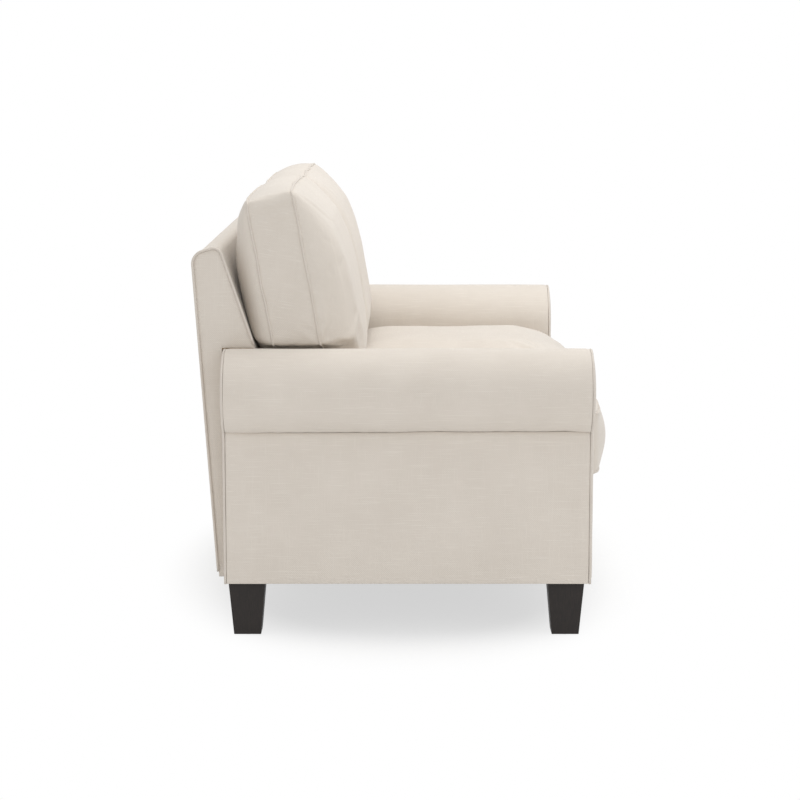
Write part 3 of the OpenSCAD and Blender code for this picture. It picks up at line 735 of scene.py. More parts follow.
def waver(place: Vector, size: float, seed: float) -> float:
    """Give a smooth uneven value from -1 to 1.

    Args:
        place: where it is read.
        size: the length over which it changes.
        seed: sets one waver apart from another.

    Returns:
        The value.
    """
    return noise.noise(place / size + Vector((seed, seed * 1.7, -seed)))


@dataclass(frozen=True)
class Ripple:
    """A soft unevenness of cloth: how high, over what length, and the seed that sets it apart."""

    height: float
    length: float
    seed: float

    def at(self, place: Vector, shift: float = 0.0) -> float:
        """How far the cloth stands out at a place, with a shift added to the seed."""
        return self.height * waver(place, self.length, self.seed + shift)


def reach_to(p: Vector, line: Sequence[Vector]) -> float:
    """Measure how far a point lies from a closed line.

    Args:
        p: the point.
        line: the line's points.

    Returns:
        The distance.
    """
    best = math.inf
    for a, b in zip(line, [*line[1:], line[0]]):
        run = b - a
        t = max(0.0, min(1.0, (p - a).dot(run) / max(run.length_squared, 1e-12)))
        best = min(best, (p - a - run * t).length)
    return best


def cut_in_squares(obj: bpy.types.Object, axes: Sequence[int], pitch: float) -> None:
    """Cut a piece into squares by bisecting it.

    Args:
        obj: the piece.
        axes: the axes that the cuts are spaced along.
        pitch: the spacing.
    """
    with editing(obj, Element.FACE):
        for axis in axes:
            low = min(v.co[axis] for v in bmesh.from_edit_mesh(obj.data).verts)
            high = max(v.co[axis] for v in bmesh.from_edit_mesh(obj.data).verts)
            count = math.ceil((high - low) / pitch)
            for i in range(1, count):
                place, way = [0.0, 0.0, 0.0], [0.0, 0.0, 0.0]
                place[axis], way[axis] = low + (high - low) * i / count, 1.0
                bpy.ops.mesh.select_all(action="SELECT")
                bpy.ops.mesh.bisect(plane_co=place, plane_no=way)


def padded_plate(name: str, outline: Sequence[Vector], thick: Vector, crown: float, edge: float,
                 pitch: float = 0.012, seed: float = 0.0) -> bpy.types.Object:
    """Make a padded plate from its outline: filled, given a thickness, its rim rounded and its face crowned.

    Args:
        name: the new object's name.
        outline: the back face's points, in order.
        thick: from the back face to the front face's edge.
        crown: how far the middle of the front stands above its edge.
        edge: how far from the rim the crown is full.
        pitch: the spacing of the cuts across the face.
        seed: sets its waver apart.

    Returns:
        The plate, in object mode.
    """
    obj = chain(name, outline, closed=True)
    way = thick.normalized()
    back = outline[0].dot(way)
    front = back + thick.length
    cloth = Ripple(0.0004, 0.07, seed)
    rim = min(0.0016, thick.length * 0.7)
    with editing(obj, Element.EDGE):
        bpy.ops.mesh.select_all(action="SELECT")
        bpy.ops.mesh.edge_face_add()
        bpy.ops.mesh.select_mode(type="FACE")
        bpy.ops.mesh.select_all(action="SELECT")
        bpy.ops.mesh.extrude_region_move(TRANSFORM_OT_translate={"value": thick})
        bpy.ops.mesh.select_all(action="SELECT")
        bpy.ops.mesh.normals_make_consistent(inside=False)
    with editing(obj, Element.EDGE):
        pick(obj, Element.EDGE, lambda e: all(abs(v.co.dot(way) - front) < 1e-6 for v in e.verts))
        bpy.ops.mesh.bevel(offset=rim, segments=3)
    cut_in_squares(obj, [i for i in range(3) if abs(way[i]) < 0.5], pitch)

    def crowned(p: Vector) -> Vector:
        """Raise a point of the face by the crown."""
        if p.dot(way) < front - 1e-6:
            return p
        share = min(1.0, reach_to(p - way * (p.dot(way) - back), outline) / edge)
        return p + way * ((crown + cloth.at(p)) * (1 - (1 - share) ** 2))

    ease(obj, crowned)
    apply_modifier(obj, "TRIANGULATE", min_vertices=5)
    choose(obj)
    bpy.ops.object.shade_smooth_by_angle(angle=math.radians(50))
    return obj


# Sizes that the pieces share


@dataclass(frozen=True)
class BodySizes:
    """The body's sizes, as the frame has them."""

    arm_front_y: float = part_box("arm_front_facing_left")[0].y
    arm_back_y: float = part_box("arm_rear_facings")[1].y
    inner_x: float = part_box("arm_cover_right")[0].x
    roll_out_x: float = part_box("arm_cover_right")[1].x
    panel_x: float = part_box("arm_side_panel_right")[1].x
    arm_top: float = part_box("arm_cover_right")[1].z
    foot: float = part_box("dust_cover")[0].z
    deck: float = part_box("deck_cover")[1].z
    wing_x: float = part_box("back_side_panels")[1].x
    # The height of the back's top edge before it is rounded
    back_top: float = 0.832
    lean_out: float = math.radians(4.0)
    lean_in: float = math.radians(19.0)
    back_top_t: float = 0.057
    top_fall: float = 0.016
    top_front_r: float = 0.018
    top_rear_r: float = 0.028
    back_foot: float = 0.014
    welt_r: float = 0.0027
    gap: float = 0.0003

    @property
    def welt_off(self) -> float:
        """How far the middle of a welt lies outside the edge that it follows."""
        return (self.welt_r + self.gap) * math.cos(math.pi / 4)

    @property
    def welt_proud(self) -> float:
        """How far a welt stands out of the edge that it follows."""
        return self.welt_off + self.welt_r

    @property
    def roll_r(self) -> float:
        """The radius of the arm's roll."""
        return (self.roll_out_x - self.inner_x) / 2

    @property
    def roll_x(self) -> float:
        """The X of the roll's middle."""
        return self.inner_x + self.roll_r

    @property
    def roll_z(self) -> float:
        """The height of the roll's middle."""
        return self.arm_top - self.roll_r

    @property
    def seam_angle(self) -> float:
        """The angle at which the side panel meets the roll."""
        return -math.acos((self.panel_x - self.roll_x) / self.roll_r)

    @property
    def seam_z(self) -> float:
        """The height at which the side panel meets the roll."""
        return self.roll_z + self.roll_r * math.sin(self.seam_angle)

    def outside_y(self, z: float) -> float:
        """The Y of the outside of the back at a height."""
        return self.arm_back_y + self.back_foot + (z - self.foot) * math.tan(self.lean_out)

    def inside_y(self, z: float) -> float:
        """The Y of the inside of the back at a height."""
        return self.outside_y(self.back_top) - self.back_top_t - (self.back_top - z) * math.tan(self.lean_in)

    def back_corners(self, low: float, inner_low: float) -> list[tuple[float, float]]:
        """The back's corners in Y and Z, from the foot of the outside over the top.

        Args:
            low: the height of the foot of the outside.
            inner_low: the height of the foot of the inside.

        Returns:
            Four corners.
        """
        fall = self.back_top - self.top_fall
        return [(self.outside_y(low), low), (self.outside_y(fall), fall),
                (self.inside_y(self.back_top), self.back_top), (self.inside_y(inner_low), inner_low)]


BODY = BodySizes()


def rounded_path(corners: Sequence[tuple[float, float]], radii: Sequence[float],
                 steps: int = 10) -> list[tuple[float, float]]:
    """Round the inner corners of an open line.

    Args:
        corners: the line's corners.
        radii: one radius for each corner; 0 keeps it sharp.
        steps: how many chords each rounding has.

    Returns:
        The line's points.
    """
    points = [corners[0]]
    for before, corner, after, r in zip(corners, corners[1:], corners[2:], radii[1:]):
        p = Vector(corner)
        u, w = (Vector(before) - p).normalized(), (Vector(after) - p).normalized()
        half = math.acos(max(-1, min(1, u.dot(w)))) / 2
        if r <= 0:
            points.append(tuple(p))
            continue
        middle = p + (u + w).normalized() * r / math.sin(half)
        s, e = p + u * r / math.tan(half) - middle, p + w * r / math.tan(half) - middle
        a0, a1 = math.atan2(s.y, s.x), math.atan2(e.y, e.x)
        turn = (a1 - a0 + math.pi) % (2 * math.pi) - math.pi
        points += [(middle.x + r * math.cos(a), middle.y + r * math.sin(a))
                   for a in (a0 + turn * i / steps for i in range(steps + 1))]
    return points + [corners[-1]]


def spaced(points: Sequence[Vector], step: float) -> list[Vector]:
    """Split a line's long stretches.

    Args:
        points: the line's points.
        step: the longest stretch that stays.

    Returns:
        The points with new ones between them.
    """
    out = [points[0]]
    for a, b in zip(points, points[1:]):
        n = max(1, math.ceil((b - a).length / step))
        out += [a.lerp(b, i / n) for i in range(1, n + 1)]
    return out


@dataclass
class Piece:
    """A finished piece: what it rides on, what it stands for and what it is made of."""

    obj: bpy.types.Object
    body: str
    slot: str
    finish: Finish
    stands_for: tuple[str, ...] = ()
    fill: float | None = None

    def place(self) -> bpy.types.Object:
        """Dress the piece and hand it to the frame.

        Returns:
            The piece's object.
        """
        self.obj.data.materials.clear()
        self.obj.data.materials.append(self.finish.material())
        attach(self.obj, self.body)
        if self.stands_for:
            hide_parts(*self.stands_for)
        LOG.info("%s rides on %s", self.obj.name, self.body)
        return self.obj


def upholster(obj: bpy.types.Object, finish: Finish, *nodes: str, fill: float | None = None) -> None:
    """Dress a piece of the body's upholstery.

    Args:
        obj: the piece's object.
        finish: what it is made of.
        nodes: the nodes that it stands for.
        fill: how full a padded piece is, or None for one that isn't padded.
    """
    Piece(obj, "body", "upholstery", finish, nodes, fill).place()


def duplicate(obj: bpy.types.Object, name: str) -> bpy.types.Object:
    """Copy an object, with a mesh of its own.

    Args:
        obj: the object.
        name: the copy's name.

    Returns:
        The copy.
    """
    twin = obj.copy()
    twin.data = obj.data.copy()
    twin.name = twin.data.name = name
    bpy.context.scene.collection.objects.link(twin)
    return twin


def mirror_across(obj: bpy.types.Object) -> None:
    """Mirror an object's mesh in X and turn its faces outwards again."""
    obj.data.transform(Matrix.Diagonal((-1, 1, 1, 1)))
    obj.data.flip_normals()


# Arms


@dataclass
class Arm:
    """One upholstered arm: roll, side panel, facings and welts."""

    side: Side
    foot_z: float = BODY.foot + 0.0018
    cover_t: float = 0.003
    panel_t: float = 0.004
    front_t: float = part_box("arm_front_facing_left")[1].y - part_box("arm_front_facing_left")[0].y
    rear_t: float = 0.010
    seam_sag: float = 0.0045
    turn_under: float = 0.0040
    rim_round: float = 0.0028
    rim_bevel: float = 0.0012
    step: float = 0.007
    # How many chords the roll, the inside below it and the facings' outline have
    roll_chords: int = 56
    inside_chords: int = 40
    keyhole_chords: int = 48
    # How far from an end the swell is full, and how deep and how far in the cloth is tucked there
    calm_reach: float = 0.05
    end_tuck: tuple[float, float] = (0.0012, 0.012)
    # The facings: how low their rims lie, how high they are crowned and from how far in
    facing_rim: float = 0.0035
    facing_crown: float = 0.004
    crown_reach: float = 0.03
    # How high the side panel is crowned, and how far in from its ends and its foot
    panel_crown: float = 0.0014
    panel_reach: tuple[float, float] = (0.02, 0.012)
    # How far below its top edge the side panel is pulled, rounded and let down with the seam
    top_reach: tuple[float, float, float] = (0.05, 0.008, 0.06)
    # The angle over which the cloth is gathered above the seam
    gather_angle: float = 0.55
    # How much of the swell shows on the inside of the arm
    inside_share: float = 0.4
    # The cloth over the roll: its swell, its gathers above the seam and how the seam wanders
    broad: Ripple = Ripple(0.0009, 0.16, 1.0)
    fine: Ripple = Ripple(0.0005, 0.035, 2.0)
    gathers: Ripple = Ripple(0.0011, 0.02, 6.0)
    wander: Ripple = Ripple(0.0016, 0.11, 4.0)
    # The side panel: its swell and the pulls along its top edge
    panel_swell: Ripple = Ripple(0.0005, 0.12, 11.0)
    pulls: Ripple = Ripple(0.0005, 0.018, 3.0)
    cord_wander: Ripple = Ripple(0.0005, 0.04, 9.0)

    @property
    def ends(self) -> tuple[float, float]:
        """The Y of the front and rear ends of the cover and the side panel, beside the welts."""
        beside = BODY.welt_r + BODY.gap
        return BODY.arm_front_y + self.front_t / 2 + beside, BODY.arm_back_y - self.rear_t / 2 - beside

    def at(self, x: float, y: float, z: float) -> Vector:
        """A point given by its distance from the middle of the loveseat."""
        return Vector((x * self.side.value, y, z))

    def sag(self, y: float) -> float:
        """How far the seam under the roll lies above its straight line, or below it, at a Y."""
        t = (y - BODY.arm_front_y) / (BODY.arm_back_y - BODY.arm_front_y)
        return self.wander.at(Vector((y, 0.3 * self.side.value, 0))) - self.seam_sag * (t - 0.35)

    def cover(self) -> bpy.types.Object:
        """Pull the cloth from under the roll, over it and down the inside.

        Returns:
            The cover.
        """
        b = BODY
        y0, y1 = self.ends
        # The cloth ends behind the panel's top edge
        tuck = [(b.panel_x - 0.0110, b.seam_z - 0.0060), (b.panel_x - 0.0088, b.seam_z + 0.0006)]
        steps, fall = self.roll_chords, self.inside_chords
        arc = [(b.roll_x + b.roll_r * math.cos(a), b.roll_z + b.roll_r * math.sin(a))
               for a in (b.seam_angle + (math.pi - b.seam_angle) * (i + 0.3) / steps for i in range(steps))]
        inside = [(b.inner_x, b.roll_z - (b.roll_z - self.foot_z) * i / fall) for i in range(fall + 1)]
        path = [self.at(x, y0, z) for x, z in tuck + arc + inside]
        obj = pull_sheet(f"arm_cover_{self.side.word}_cloth", path[0], self.at(tuck[0][0], y1, tuck[0][1]),
                         path, int((y1 - y0) / self.step))

        def smooth_over(p: Vector) -> Vector:
            """Swell, gather and tuck the cloth at a point."""
            x, z = abs(p.x) - b.roll_x, p.z - b.roll_z
            reach = math.hypot(x, z)
            angle = math.atan2(z, x)
            end = min(p.y - y0, y1 - p.y)
            calm = min(1.0, end / self.calm_reach)
            swell = self.broad.at(p) + self.fine.at(Vector((p.x, p.y * 0.35, p.z)))
            if reach > b.roll_r * 0.9 and angle > b.seam_angle - 0.02 and (angle > -0.02 or x > 0):
                near = max(0.0, 1 - (angle - b.seam_angle) / self.gather_angle)
                pleat = near * self.gathers.at(Vector((0, p.y, 0)))
                turn_in = self.turn_under * near ** 5
                tucked = self.end_tuck[0] * max(0.0, 1 - end / self.end_tuck[1]) ** 2
                out = (swell * calm - tucked + (pleat - turn_in) * calm) / reach
                drop = self.sag(p.y) * near ** 1.5 * calm
                return Vector((p.x + self.side.value * x * out, p.y, p.z + z * out + drop))
            if x > 0:
                return Vector((p.x, p.y, p.z + self.sag(p.y) * calm))
            inward = self.inside_share * max(0.0, swell * calm)
            return Vector((p.x + self.side.value * inward, p.y, p.z))

        ease(obj, smooth_over)
        turn_to(obj, self.at(1, 0, 0))
        return thicken(obj, self.cover_t, sharp=60)

    def side_panel(self) -> bpy.types.Object:
        """Pad the outside of the arm, its top edge tucked under the roll.

        Returns:
            The panel.
        """
        b = BODY
        y0, y1 = self.ends
        z0, z1 = b.foot + 0.0005, b.seam_z + 0.0024
        obj = new_grid(f"arm_side_panel_{self.side.word}_cloth", 112, 48)

        def stretch(p: Vector) -> Vector:
            """Place a point of the panel, from where it lies in the plain grid."""
            u, v = p.x + 0.5, p.y + 0.5
            y, z = y0 + (y1 - y0) * u, z0 + (z1 - z0) * v
            from_end, from_foot = self.panel_reach
            edge = min(1.0, min(u, 1 - u) * (y1 - y0) / from_end, v * (z1 - z0) / from_foot)
            crown = self.panel_crown * math.sin(math.pi * min(1, max(0, v))) * math.sin(math.pi * u) ** 0.5
            cloth = self.panel_swell.at(Vector((0, y, z)), self.side.value)
            pulled, rim, top = (max(0.0, 1 - (1 - v) * (z1 - z0) / reach) for reach in self.top_reach)
            full = (crown + cloth + pulled * self.pulls.at(Vector((y, 0, 0)))) * edge
            x = b.panel_x - self.rim_bevel * (1 - edge) ** 2 - self.rim_round * rim ** 2 + full
            return self.at(x, y, z + self.sag(y) * top * min(1.0, min(u, 1 - u) * 12))

        ease(obj, stretch)
        turn_to(obj, self.at(1, 0, 0))
        return thicken(obj, self.panel_t, self.rim_bevel)

    def keyhole(self, y: float, depth: float) -> list[Vector]:
        """The arm's outline at a Y, drawn smaller by a depth, from the foot of its inside.

        Args:
            y: where the outline lies.
            depth: how much smaller it is.

        Returns:
            The outline's points.
        """
        b = BODY
        r = b.roll_r - depth
        end = -math.acos((b.panel_x - depth - b.roll_x) / r)
        chords = self.keyhole_chords
        arc = [(b.roll_x + r * math.cos(a), b.roll_z + r * math.sin(a))
               for a in (math.pi + (end - math.pi) * i / chords for i in range(chords + 1))]
        line = [(b.inner_x + depth, b.foot + b.gap), *arc, (b.panel_x - depth, b.foot + b.gap)]
        return [self.at(x, y, z) for x, z in line]

    def facing(self, front: bool) -> bpy.types.Object:
        """Pad the end of the arm.

        Args:
            front: whether it is the front end.

        Returns:
            The facing.
        """
        b = BODY
        thick = self.front_t if front else self.rear_t
        back_y = b.arm_front_y + thick if front else b.arm_back_y - thick
        way = Vector((0, -1, 0)) if front else Vector((0, 1, 0))
        word = "front" if front else "rear"
        return padded_plate(
            f"arm_{word}_facing_{self.side.word}_cloth", self.keyhole(back_y, 2 * b.welt_r + b.gap),
            way * (thick - self.facing_rim), self.facing_crown, self.crown_reach,
            seed=self.side.value + thick)

    def welt(self, front: bool) -> bpy.types.Object:
        """Lay the piping round the end of the arm.

        Args:
            front: whether it is the front end.

        Returns:
            The piping.
        """
        b = BODY
        y = b.arm_front_y + self.front_t / 2 if front else b.arm_back_y - self.rear_t / 2
        line = spaced(self.keyhole(y, b.welt_r), 0.012)
        line = [p + Vector((0, self.cord_wander.at(p), 0)) for p in line]
        return cord_along(f"arm_{'front' if front else 'rear'}_welt_{self.side.word}_cord", line, b.welt_r)

    def build(self) -> None:
        """Build and dress the arm."""
        word = self.side.word
        upholster(self.cover(), Finish.LINEN, f"arm_cover_{word}", f"arm_foam_{word}", fill=0.95)
        upholster(self.side_panel(), Finish.LINEN, f"arm_side_panel_{word}", fill=0.9)
        upholster(self.facing(True), Finish.LINEN, f"arm_front_facing_{word}", fill=0.9)
        upholster(self.facing(False), Finish.LINEN, "arm_rear_facings", fill=0.9)
        for front in (True, False):
            upholster(self.welt(front), Finish.PIPING, f"arm_welts_{word}")


# Back


@dataclass
class Back:
    """The upholstered back: inside and top, outside, the wings' sides and the welts."""

    cover_t: float = 0.003
    panel_t: float = 0.004
    rim_bevel: float = 0.0012
    wing_t: float = 0.002
    wing_crown: float = 0.002
    crown_reach: float = 0.025
    cuts: int = 150
    # How high the outside is crowned, and how far in from its sides and its other edges
    panel_crown: float = 0.0016
    panel_reach: tuple[float, float] = (0.02, 0.015)
    radii: tuple[float, ...] = (0.0, BODY.top_rear_r, BODY.top_front_r, 0.0)
    arm_gap: float = 0.0015
    # How far a welt's middle stands out of its seam, as a share of its radius
    cord_share: float = 0.35
    # The swell of the inside, that of the outside, and how the welts wander
    broad: Ripple = Ripple(0.0010, 0.17, 21.0)
    fine: Ripple = Ripple(0.0005, 0.05, 22.0)
    panel_swell: Ripple = Ripple(0.0006, 0.15, 31.0)
    cord_wander: Ripple = Ripple(0.0004, 0.05, 41.0)

    @property
    def half(self) -> float:
        """Half the width of the covers between the side panels."""
        return BODY.wing_x - self.cover_t - BODY.gap

    def outline(self, low: float, inner_low: float) -> list[tuple[float, float]]:
        """The back's rounded line in Y and Z, from the foot of the outside over the top.

        Args:
            low: the height of the foot of the outside.
            inner_low: the height of the foot of the inside.

        Returns:
            The line's points.
        """
        return rounded_path(BODY.back_corners(low, inner_low), self.radii)

    def inside_cover(self) -> bpy.types.Object:
        """Pull the cloth from the rear of the top over it and down the inside.

        Returns:
            The cover.
        """
        b = BODY
        line = self.outline(b.foot, b.deck + b.gap)[1:]
        path = spaced([Vector((-self.half, y, z)) for y, z in line], 0.012)
        start = path[0]
        obj = pull_sheet("back_inside_cover_cloth", start, Vector((self.half, start.y, start.z)), path,
                         self.cuts)

        def rest(p: Vector) -> Vector:
            """Swell the cloth at a point, and keep it beside the arms."""
            swell = self.broad.at(p) + self.fine.at(p)
            normal = Vector((0, -math.cos(b.lean_in), math.sin(b.lean_in)))
            calm = min(1.0, (self.half - abs(p.x)) / 0.03)
            x = p.x
            # The inside goes down between the arms, so its edge follows the rolls and then their inner sides
            reach, rise = b.roll_r + self.arm_gap, max(0.0, p.z - b.roll_z)
            if rise < reach and p.y < b.arm_back_y + 0.001:
                x = math.copysign(min(abs(x), b.roll_x - math.sqrt(reach ** 2 - rise ** 2)), x)
            return Vector((x, p.y, p.z)) + normal * swell * calm

        ease(obj, rest)
        turn_outwards(obj)
        turn_to(obj, Vector((0, 0, 1)))
        return thicken(obj, self.cover_t)

    def outside_panel(self) -> bpy.types.Object:
        """Pad the outside of the back.

        Returns:
            The panel.
        """
        low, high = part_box("outside_back")[0].z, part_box("outside_back")[1].z
        width, height = 2 * self.half, high - low
        obj = new_grid("outside_back_cloth", 120, 64)

        def stretch(p: Vector) -> Vector:
            """Place a point of the panel, from where it lies in the plain grid."""
            u, v = p.x + 0.5, p.y + 0.5
            x, z = width * u - self.half, low + height * v
            across, up = self.panel_reach
            edge = min(1.0, min(u, 1 - u) * width / across, min(v, 1 - v) * height / up)
            inside = 0 < u < 1 and 0 < v < 1
            round_out = (math.sin(math.pi * u) * math.sin(math.pi * v)) ** 0.5 if inside else 0.0
            crown = self.panel_crown * round_out
            full = (crown + self.panel_swell.at(Vector((x, 0, z)))) * edge
            return Vector((x, BODY.outside_y(z) - self.rim_bevel * (1 - edge) ** 2 + full, z))

        ease(obj, stretch)
        turn_to(obj, Vector((0, 1, 0)))
        return thicken(obj, self.panel_t, self.rim_bevel)

    def wing(self, side: Side) -> bpy.types.Object:
        """Pad the side of the back, above and behind the arm.

        Args:
            side: which side of the loveseat.

        Returns:
            The side panel.
        """
        b = BODY
        x = side.value * (b.wing_x - self.cover_t)
        behind = b.arm_back_y + self.arm_gap
        above = b.roll_z + math.sqrt((b.roll_r + self.arm_gap) ** 2 - (b.wing_x - b.roll_x) ** 2)
        line = self.outline(b.foot, above)
        line += [(behind, above), (behind, b.foot)]
        outline = [Vector((x, y, z)) for y, z in line]
        return padded_plate(
            f"back_side_panel_{side.word}_cloth", outline, Vector((side.value * self.wing_t, 0, 0)),
            self.wing_crown, self.crown_reach, seed=2.0 + side.value)

    def welt(self, side: Side) -> bpy.types.Object:
        """Lay the piping along the edge of the side panel.

        Args:
            side: which side of the loveseat.

        Returns:
            The piping.
        """
        b = BODY
        # Sewn into the seam, so that no light comes through beside it
        off = self.cord_share * b.welt_r
        line = self.outline(b.foot + 0.012, b.arm_top + self.arm_gap + b.welt_r + 0.001)
        out = []
        for i, (y, z) in enumerate(line):
            before, after = line[max(0, i - 1)], line[min(len(line) - 1, i + 1)]
            t = Vector((after[0] - before[0], after[1] - before[1])).normalized()
            out.append(Vector((side.value * (b.wing_x + off), y + t.y * off, z - t.x * off)))
        points = spaced(out, 0.015)
        points = [p + Vector((self.cord_wander.at(p), 0, 0)) for p in points]
        return cord_along(f"back_welt_{side.word}_cord", points, b.welt_r)

    def build(self) -> None:
        """Build and dress the back."""
        upholster(self.inside_cover(), Finish.LINEN, "back_cover", "back_pad", fill=0.9)
        upholster(self.outside_panel(), Finish.LINEN, "outside_back", fill=0.9)
        for side in Side:
            upholster(self.wing(side), Finish.LINEN, "back_side_panels", fill=0.9)
            upholster(self.welt(side), Finish.PIPING, "back_welts")


# Seat deck


@dataclass
class Deck:
    """What the seat cushions lie on, the border below their fronts, and the cloth underneath."""

    half_x: float = BODY.inner_x - BODY.gap
    border_y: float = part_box("front_border_cover")[0].y
    seam_y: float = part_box("front_border_cover")[1].y
    rear_y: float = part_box("deck_cover")[1].y
    cover_t: float = 0.003
    lining_t: float = 0.002
    dust_t: float = 0.0006
    dust_pitch: float = 0.036
    border_round: float = 0.014
    cuts: int = 150
    # The swell of the border, the dips of the platform and the slack of the dust cloth
    swell: Ripple = Ripple(0.0011, 0.14, 51.0)
    dips: Ripple = Ripple(0.0009, 0.09, 61.0)
    slack: Ripple = Ripple(0.0004, 0.12, 71.0)

    def border(self) -> bpy.types.Object:
        """Pull the cloth up the front border and back over its edge.

        Returns:
            The border's cover.
        """
        b = BODY
        corners = [(self.border_y, b.foot + b.gap), (self.border_y, b.deck), (self.seam_y, b.deck)]
        line = rounded_path(corners, (0.0, self.border_round, 0.0))
        path = spaced([Vector((-self.half_x, y, z)) for y, z in line], 0.009)
        end = Vector((self.half_x, path[0].y, path[0].z))
        obj = pull_sheet("front_border_cloth", path[0], end, path, self.cuts)

        def rest(p: Vector) -> Vector:
            """Swell the upright part of the cloth at a point."""
            calm = min(1.0, (self.half_x - abs(p.x)) / 0.03, max(0.0, (p.z - b.foot) / 0.01))
            swell = (0.6 * self.swell.height + self.swell.at(p)) * calm
            return p - Vector((0, swell if p.z < b.deck - 0.01 else 0.0, 0))

        ease(obj, rest)
        turn_to(obj, Vector((0, -1, 0)))
        return thicken(obj, self.cover_t)

    def platform(self) -> bpy.types.Object:
        """Lay the lining that the seat cushions lie on, dipped a little between the springs.

        Returns:
            The platform cloth.
        """
        obj = new_grid("deck_platform_cloth", 96, 48)
        front = self.seam_y + BODY.gap

        def rest(p: Vector) -> Vector:
            """Place a point of the lining, from where it lies in the plain grid."""
            x, y = 2 * self.half_x * p.x, front + (self.rear_y - front) * (p.y + 0.5)
            edge = min(1.0, (self.half_x - abs(x)) / 0.05, (y - front) / 0.05, (self.rear_y - y) / 0.05)
            dip = max(0.0, edge) * (self.dips.height + self.dips.at(Vector((x, y, 0))))
            return Vector((x, y, BODY.deck - 0.0006 - dip))

        ease(obj, rest)
        return thicken(obj, self.lining_t)

    def dust_cloth(self) -> bpy.types.Object:
        """Stretch the dust cloth under the frame.

        Returns:
            The cloth.
        """
        low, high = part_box("dust_cover")
        obj = frame["nodes"]["dust_cover"].copy()
        obj.data = obj.data.copy()
        obj.name = obj.data.name = "dust_cloth"
        obj.parent = None
        for key in list(obj.keys()):
            del obj[key]
        bpy.context.scene.collection.objects.link(obj)
        with editing(obj, Element.FACE):
            bpy.ops.mesh.select_all(action="SELECT")
            bpy.ops.mesh.remove_doubles(threshold=1e-5)
            pick(obj, Element.FACE, lambda f: abs(f.normal.z) < 0.5 or f.normal.z > 0)
            bpy.ops.mesh.delete(type="FACE")
            bpy.ops.mesh.select_all(action="SELECT")
            bpy.ops.mesh.dissolve_limited(angle_limit=0.01)
        cut_in_squares(obj, (0, 1), self.dust_pitch)

        def rest(p: Vector) -> Vector:
            """Let the cloth hang a little at a point."""
            edge = min(1.0, min(high.x - abs(p.x), p.y - low.y, high.y - p.y) / 0.12)
            hang = max(0.0, edge) * (self.slack.height + self.slack.at(p))
            return Vector((p.x, p.y, low.z + self.slack.height + hang))

        ease(obj, rest)
        apply_modifier(obj, "SOLIDIFY", thickness=self.dust_t, offset=-1.0)
        return obj

    def build(self) -> None:
        """Build and dress the deck."""
        upholster(self.border(), Finish.LINEN, "front_border_cover", "front_border_pad", fill=0.9)
        Piece(self.platform(), "body", "lining", Finish.COTTON, ("deck_cover", "deck_pad"), 0.8).place()
        cloth = Piece(self.dust_cloth(), "body", "dust_cloth", Finish.FELT, ("dust_cover",)).place()


# Cushions


@dataclass(frozen=True)
class Edge:
    """One side of a cushion's outline, given by the corner that it starts from.

    The bow is how far the side stands out between its corners at the welts, and the swell is how much
    further it stands out half-way down the border. The climb is how far the corner moves along Y for
    each metre along Z, and the radius rounds the corner.
    """

    x: float
    y: float
    bow: float = 0.0
    swell: float = 0.0
    climb: float = 0.0
    radius: float = 0.026


@dataclass(frozen=True)
class Crown:
    """How a face of a cushion rises above its welt.

    The powers are along X, along +Y, along -Y and the roundness. The room, to what the face rests on,
    is the depth at the middle and its growth for each metre along Y.
    """

    rise: float
    powers: tuple[float, float, float, float]
    room: tuple[float, float] = (math.inf, 0.0)

    def depth(self, y: np.ndarray) -> np.ndarray:
        """How high the face may rise at each Y."""
        return self.room[0] + self.room[1] * y

    def height(self, share: np.ndarray, x: np.ndarray, y: np.ndarray) -> np.ndarray:
        """Measure how high the face stands.

        Args:
            share: how far each point lies from the middle, 0, to the welt, 1.
            x: the points' X.
            y: the points' Y.

        Returns:
            The height above the welt.
        """
        reach = np.maximum(np.hypot(x, y), 1e-9)
        across, ahead, behind, _ = self.powers
        power = across * (x / reach) ** 2 + np.where(y > 0, ahead, behind) * (y / reach) ** 2
        full = np.maximum(0.0, 1 - np.minimum(share, 1.0) ** power) ** self.powers[3]
        return np.minimum(self.rise * full, self.depth(y))


@dataclass(frozen=True)
class BoxedCrown(Crown):
    """A crown that stays full up to its ends and over the ear, and falls off beside the edges alone.

    The ends are its lowest and highest X, the half is its reach along Y, the notch is the corner that
    the ear turns round, with the radius that it turns by, and the tuck is how far from there the crown
    is full.
    """

    ends: tuple[float, float] = (-0.3, 0.3)
    half: float = 0.2
    notch: tuple[float, float] = (0.3, -0.1)
    turn: float = 0.0
    tuck: float = 0.006

    def height(self, share: np.ndarray, x: np.ndarray, y: np.ndarray) -> np.ndarray:
        """Measure how high the face stands, as the plain crown does."""
        across = np.minimum(1.0, np.abs(2 * x - sum(self.ends)) / (self.ends[1] - self.ends[0]))
        along = np.minimum(1.0, np.abs(y) / self.half) ** np.where(y > 0, self.powers[1], self.powers[2])
        off = np.hypot(np.maximum(0.0, self.notch[0] + self.turn - x),
                       np.maximum(0.0, y - self.notch[1] + self.turn))
        near = 1 - (1 - np.clip((off - self.turn) / self.tuck, 0.0, 1.0)) ** 2
        rim = 1 - np.minimum(1.0, share) ** 60
        full = (1 - along) ** self.powers[3] * np.sqrt((1 - across ** self.powers[0]) * near * rim)
        return np.minimum(self.rise * full, self.depth(y))


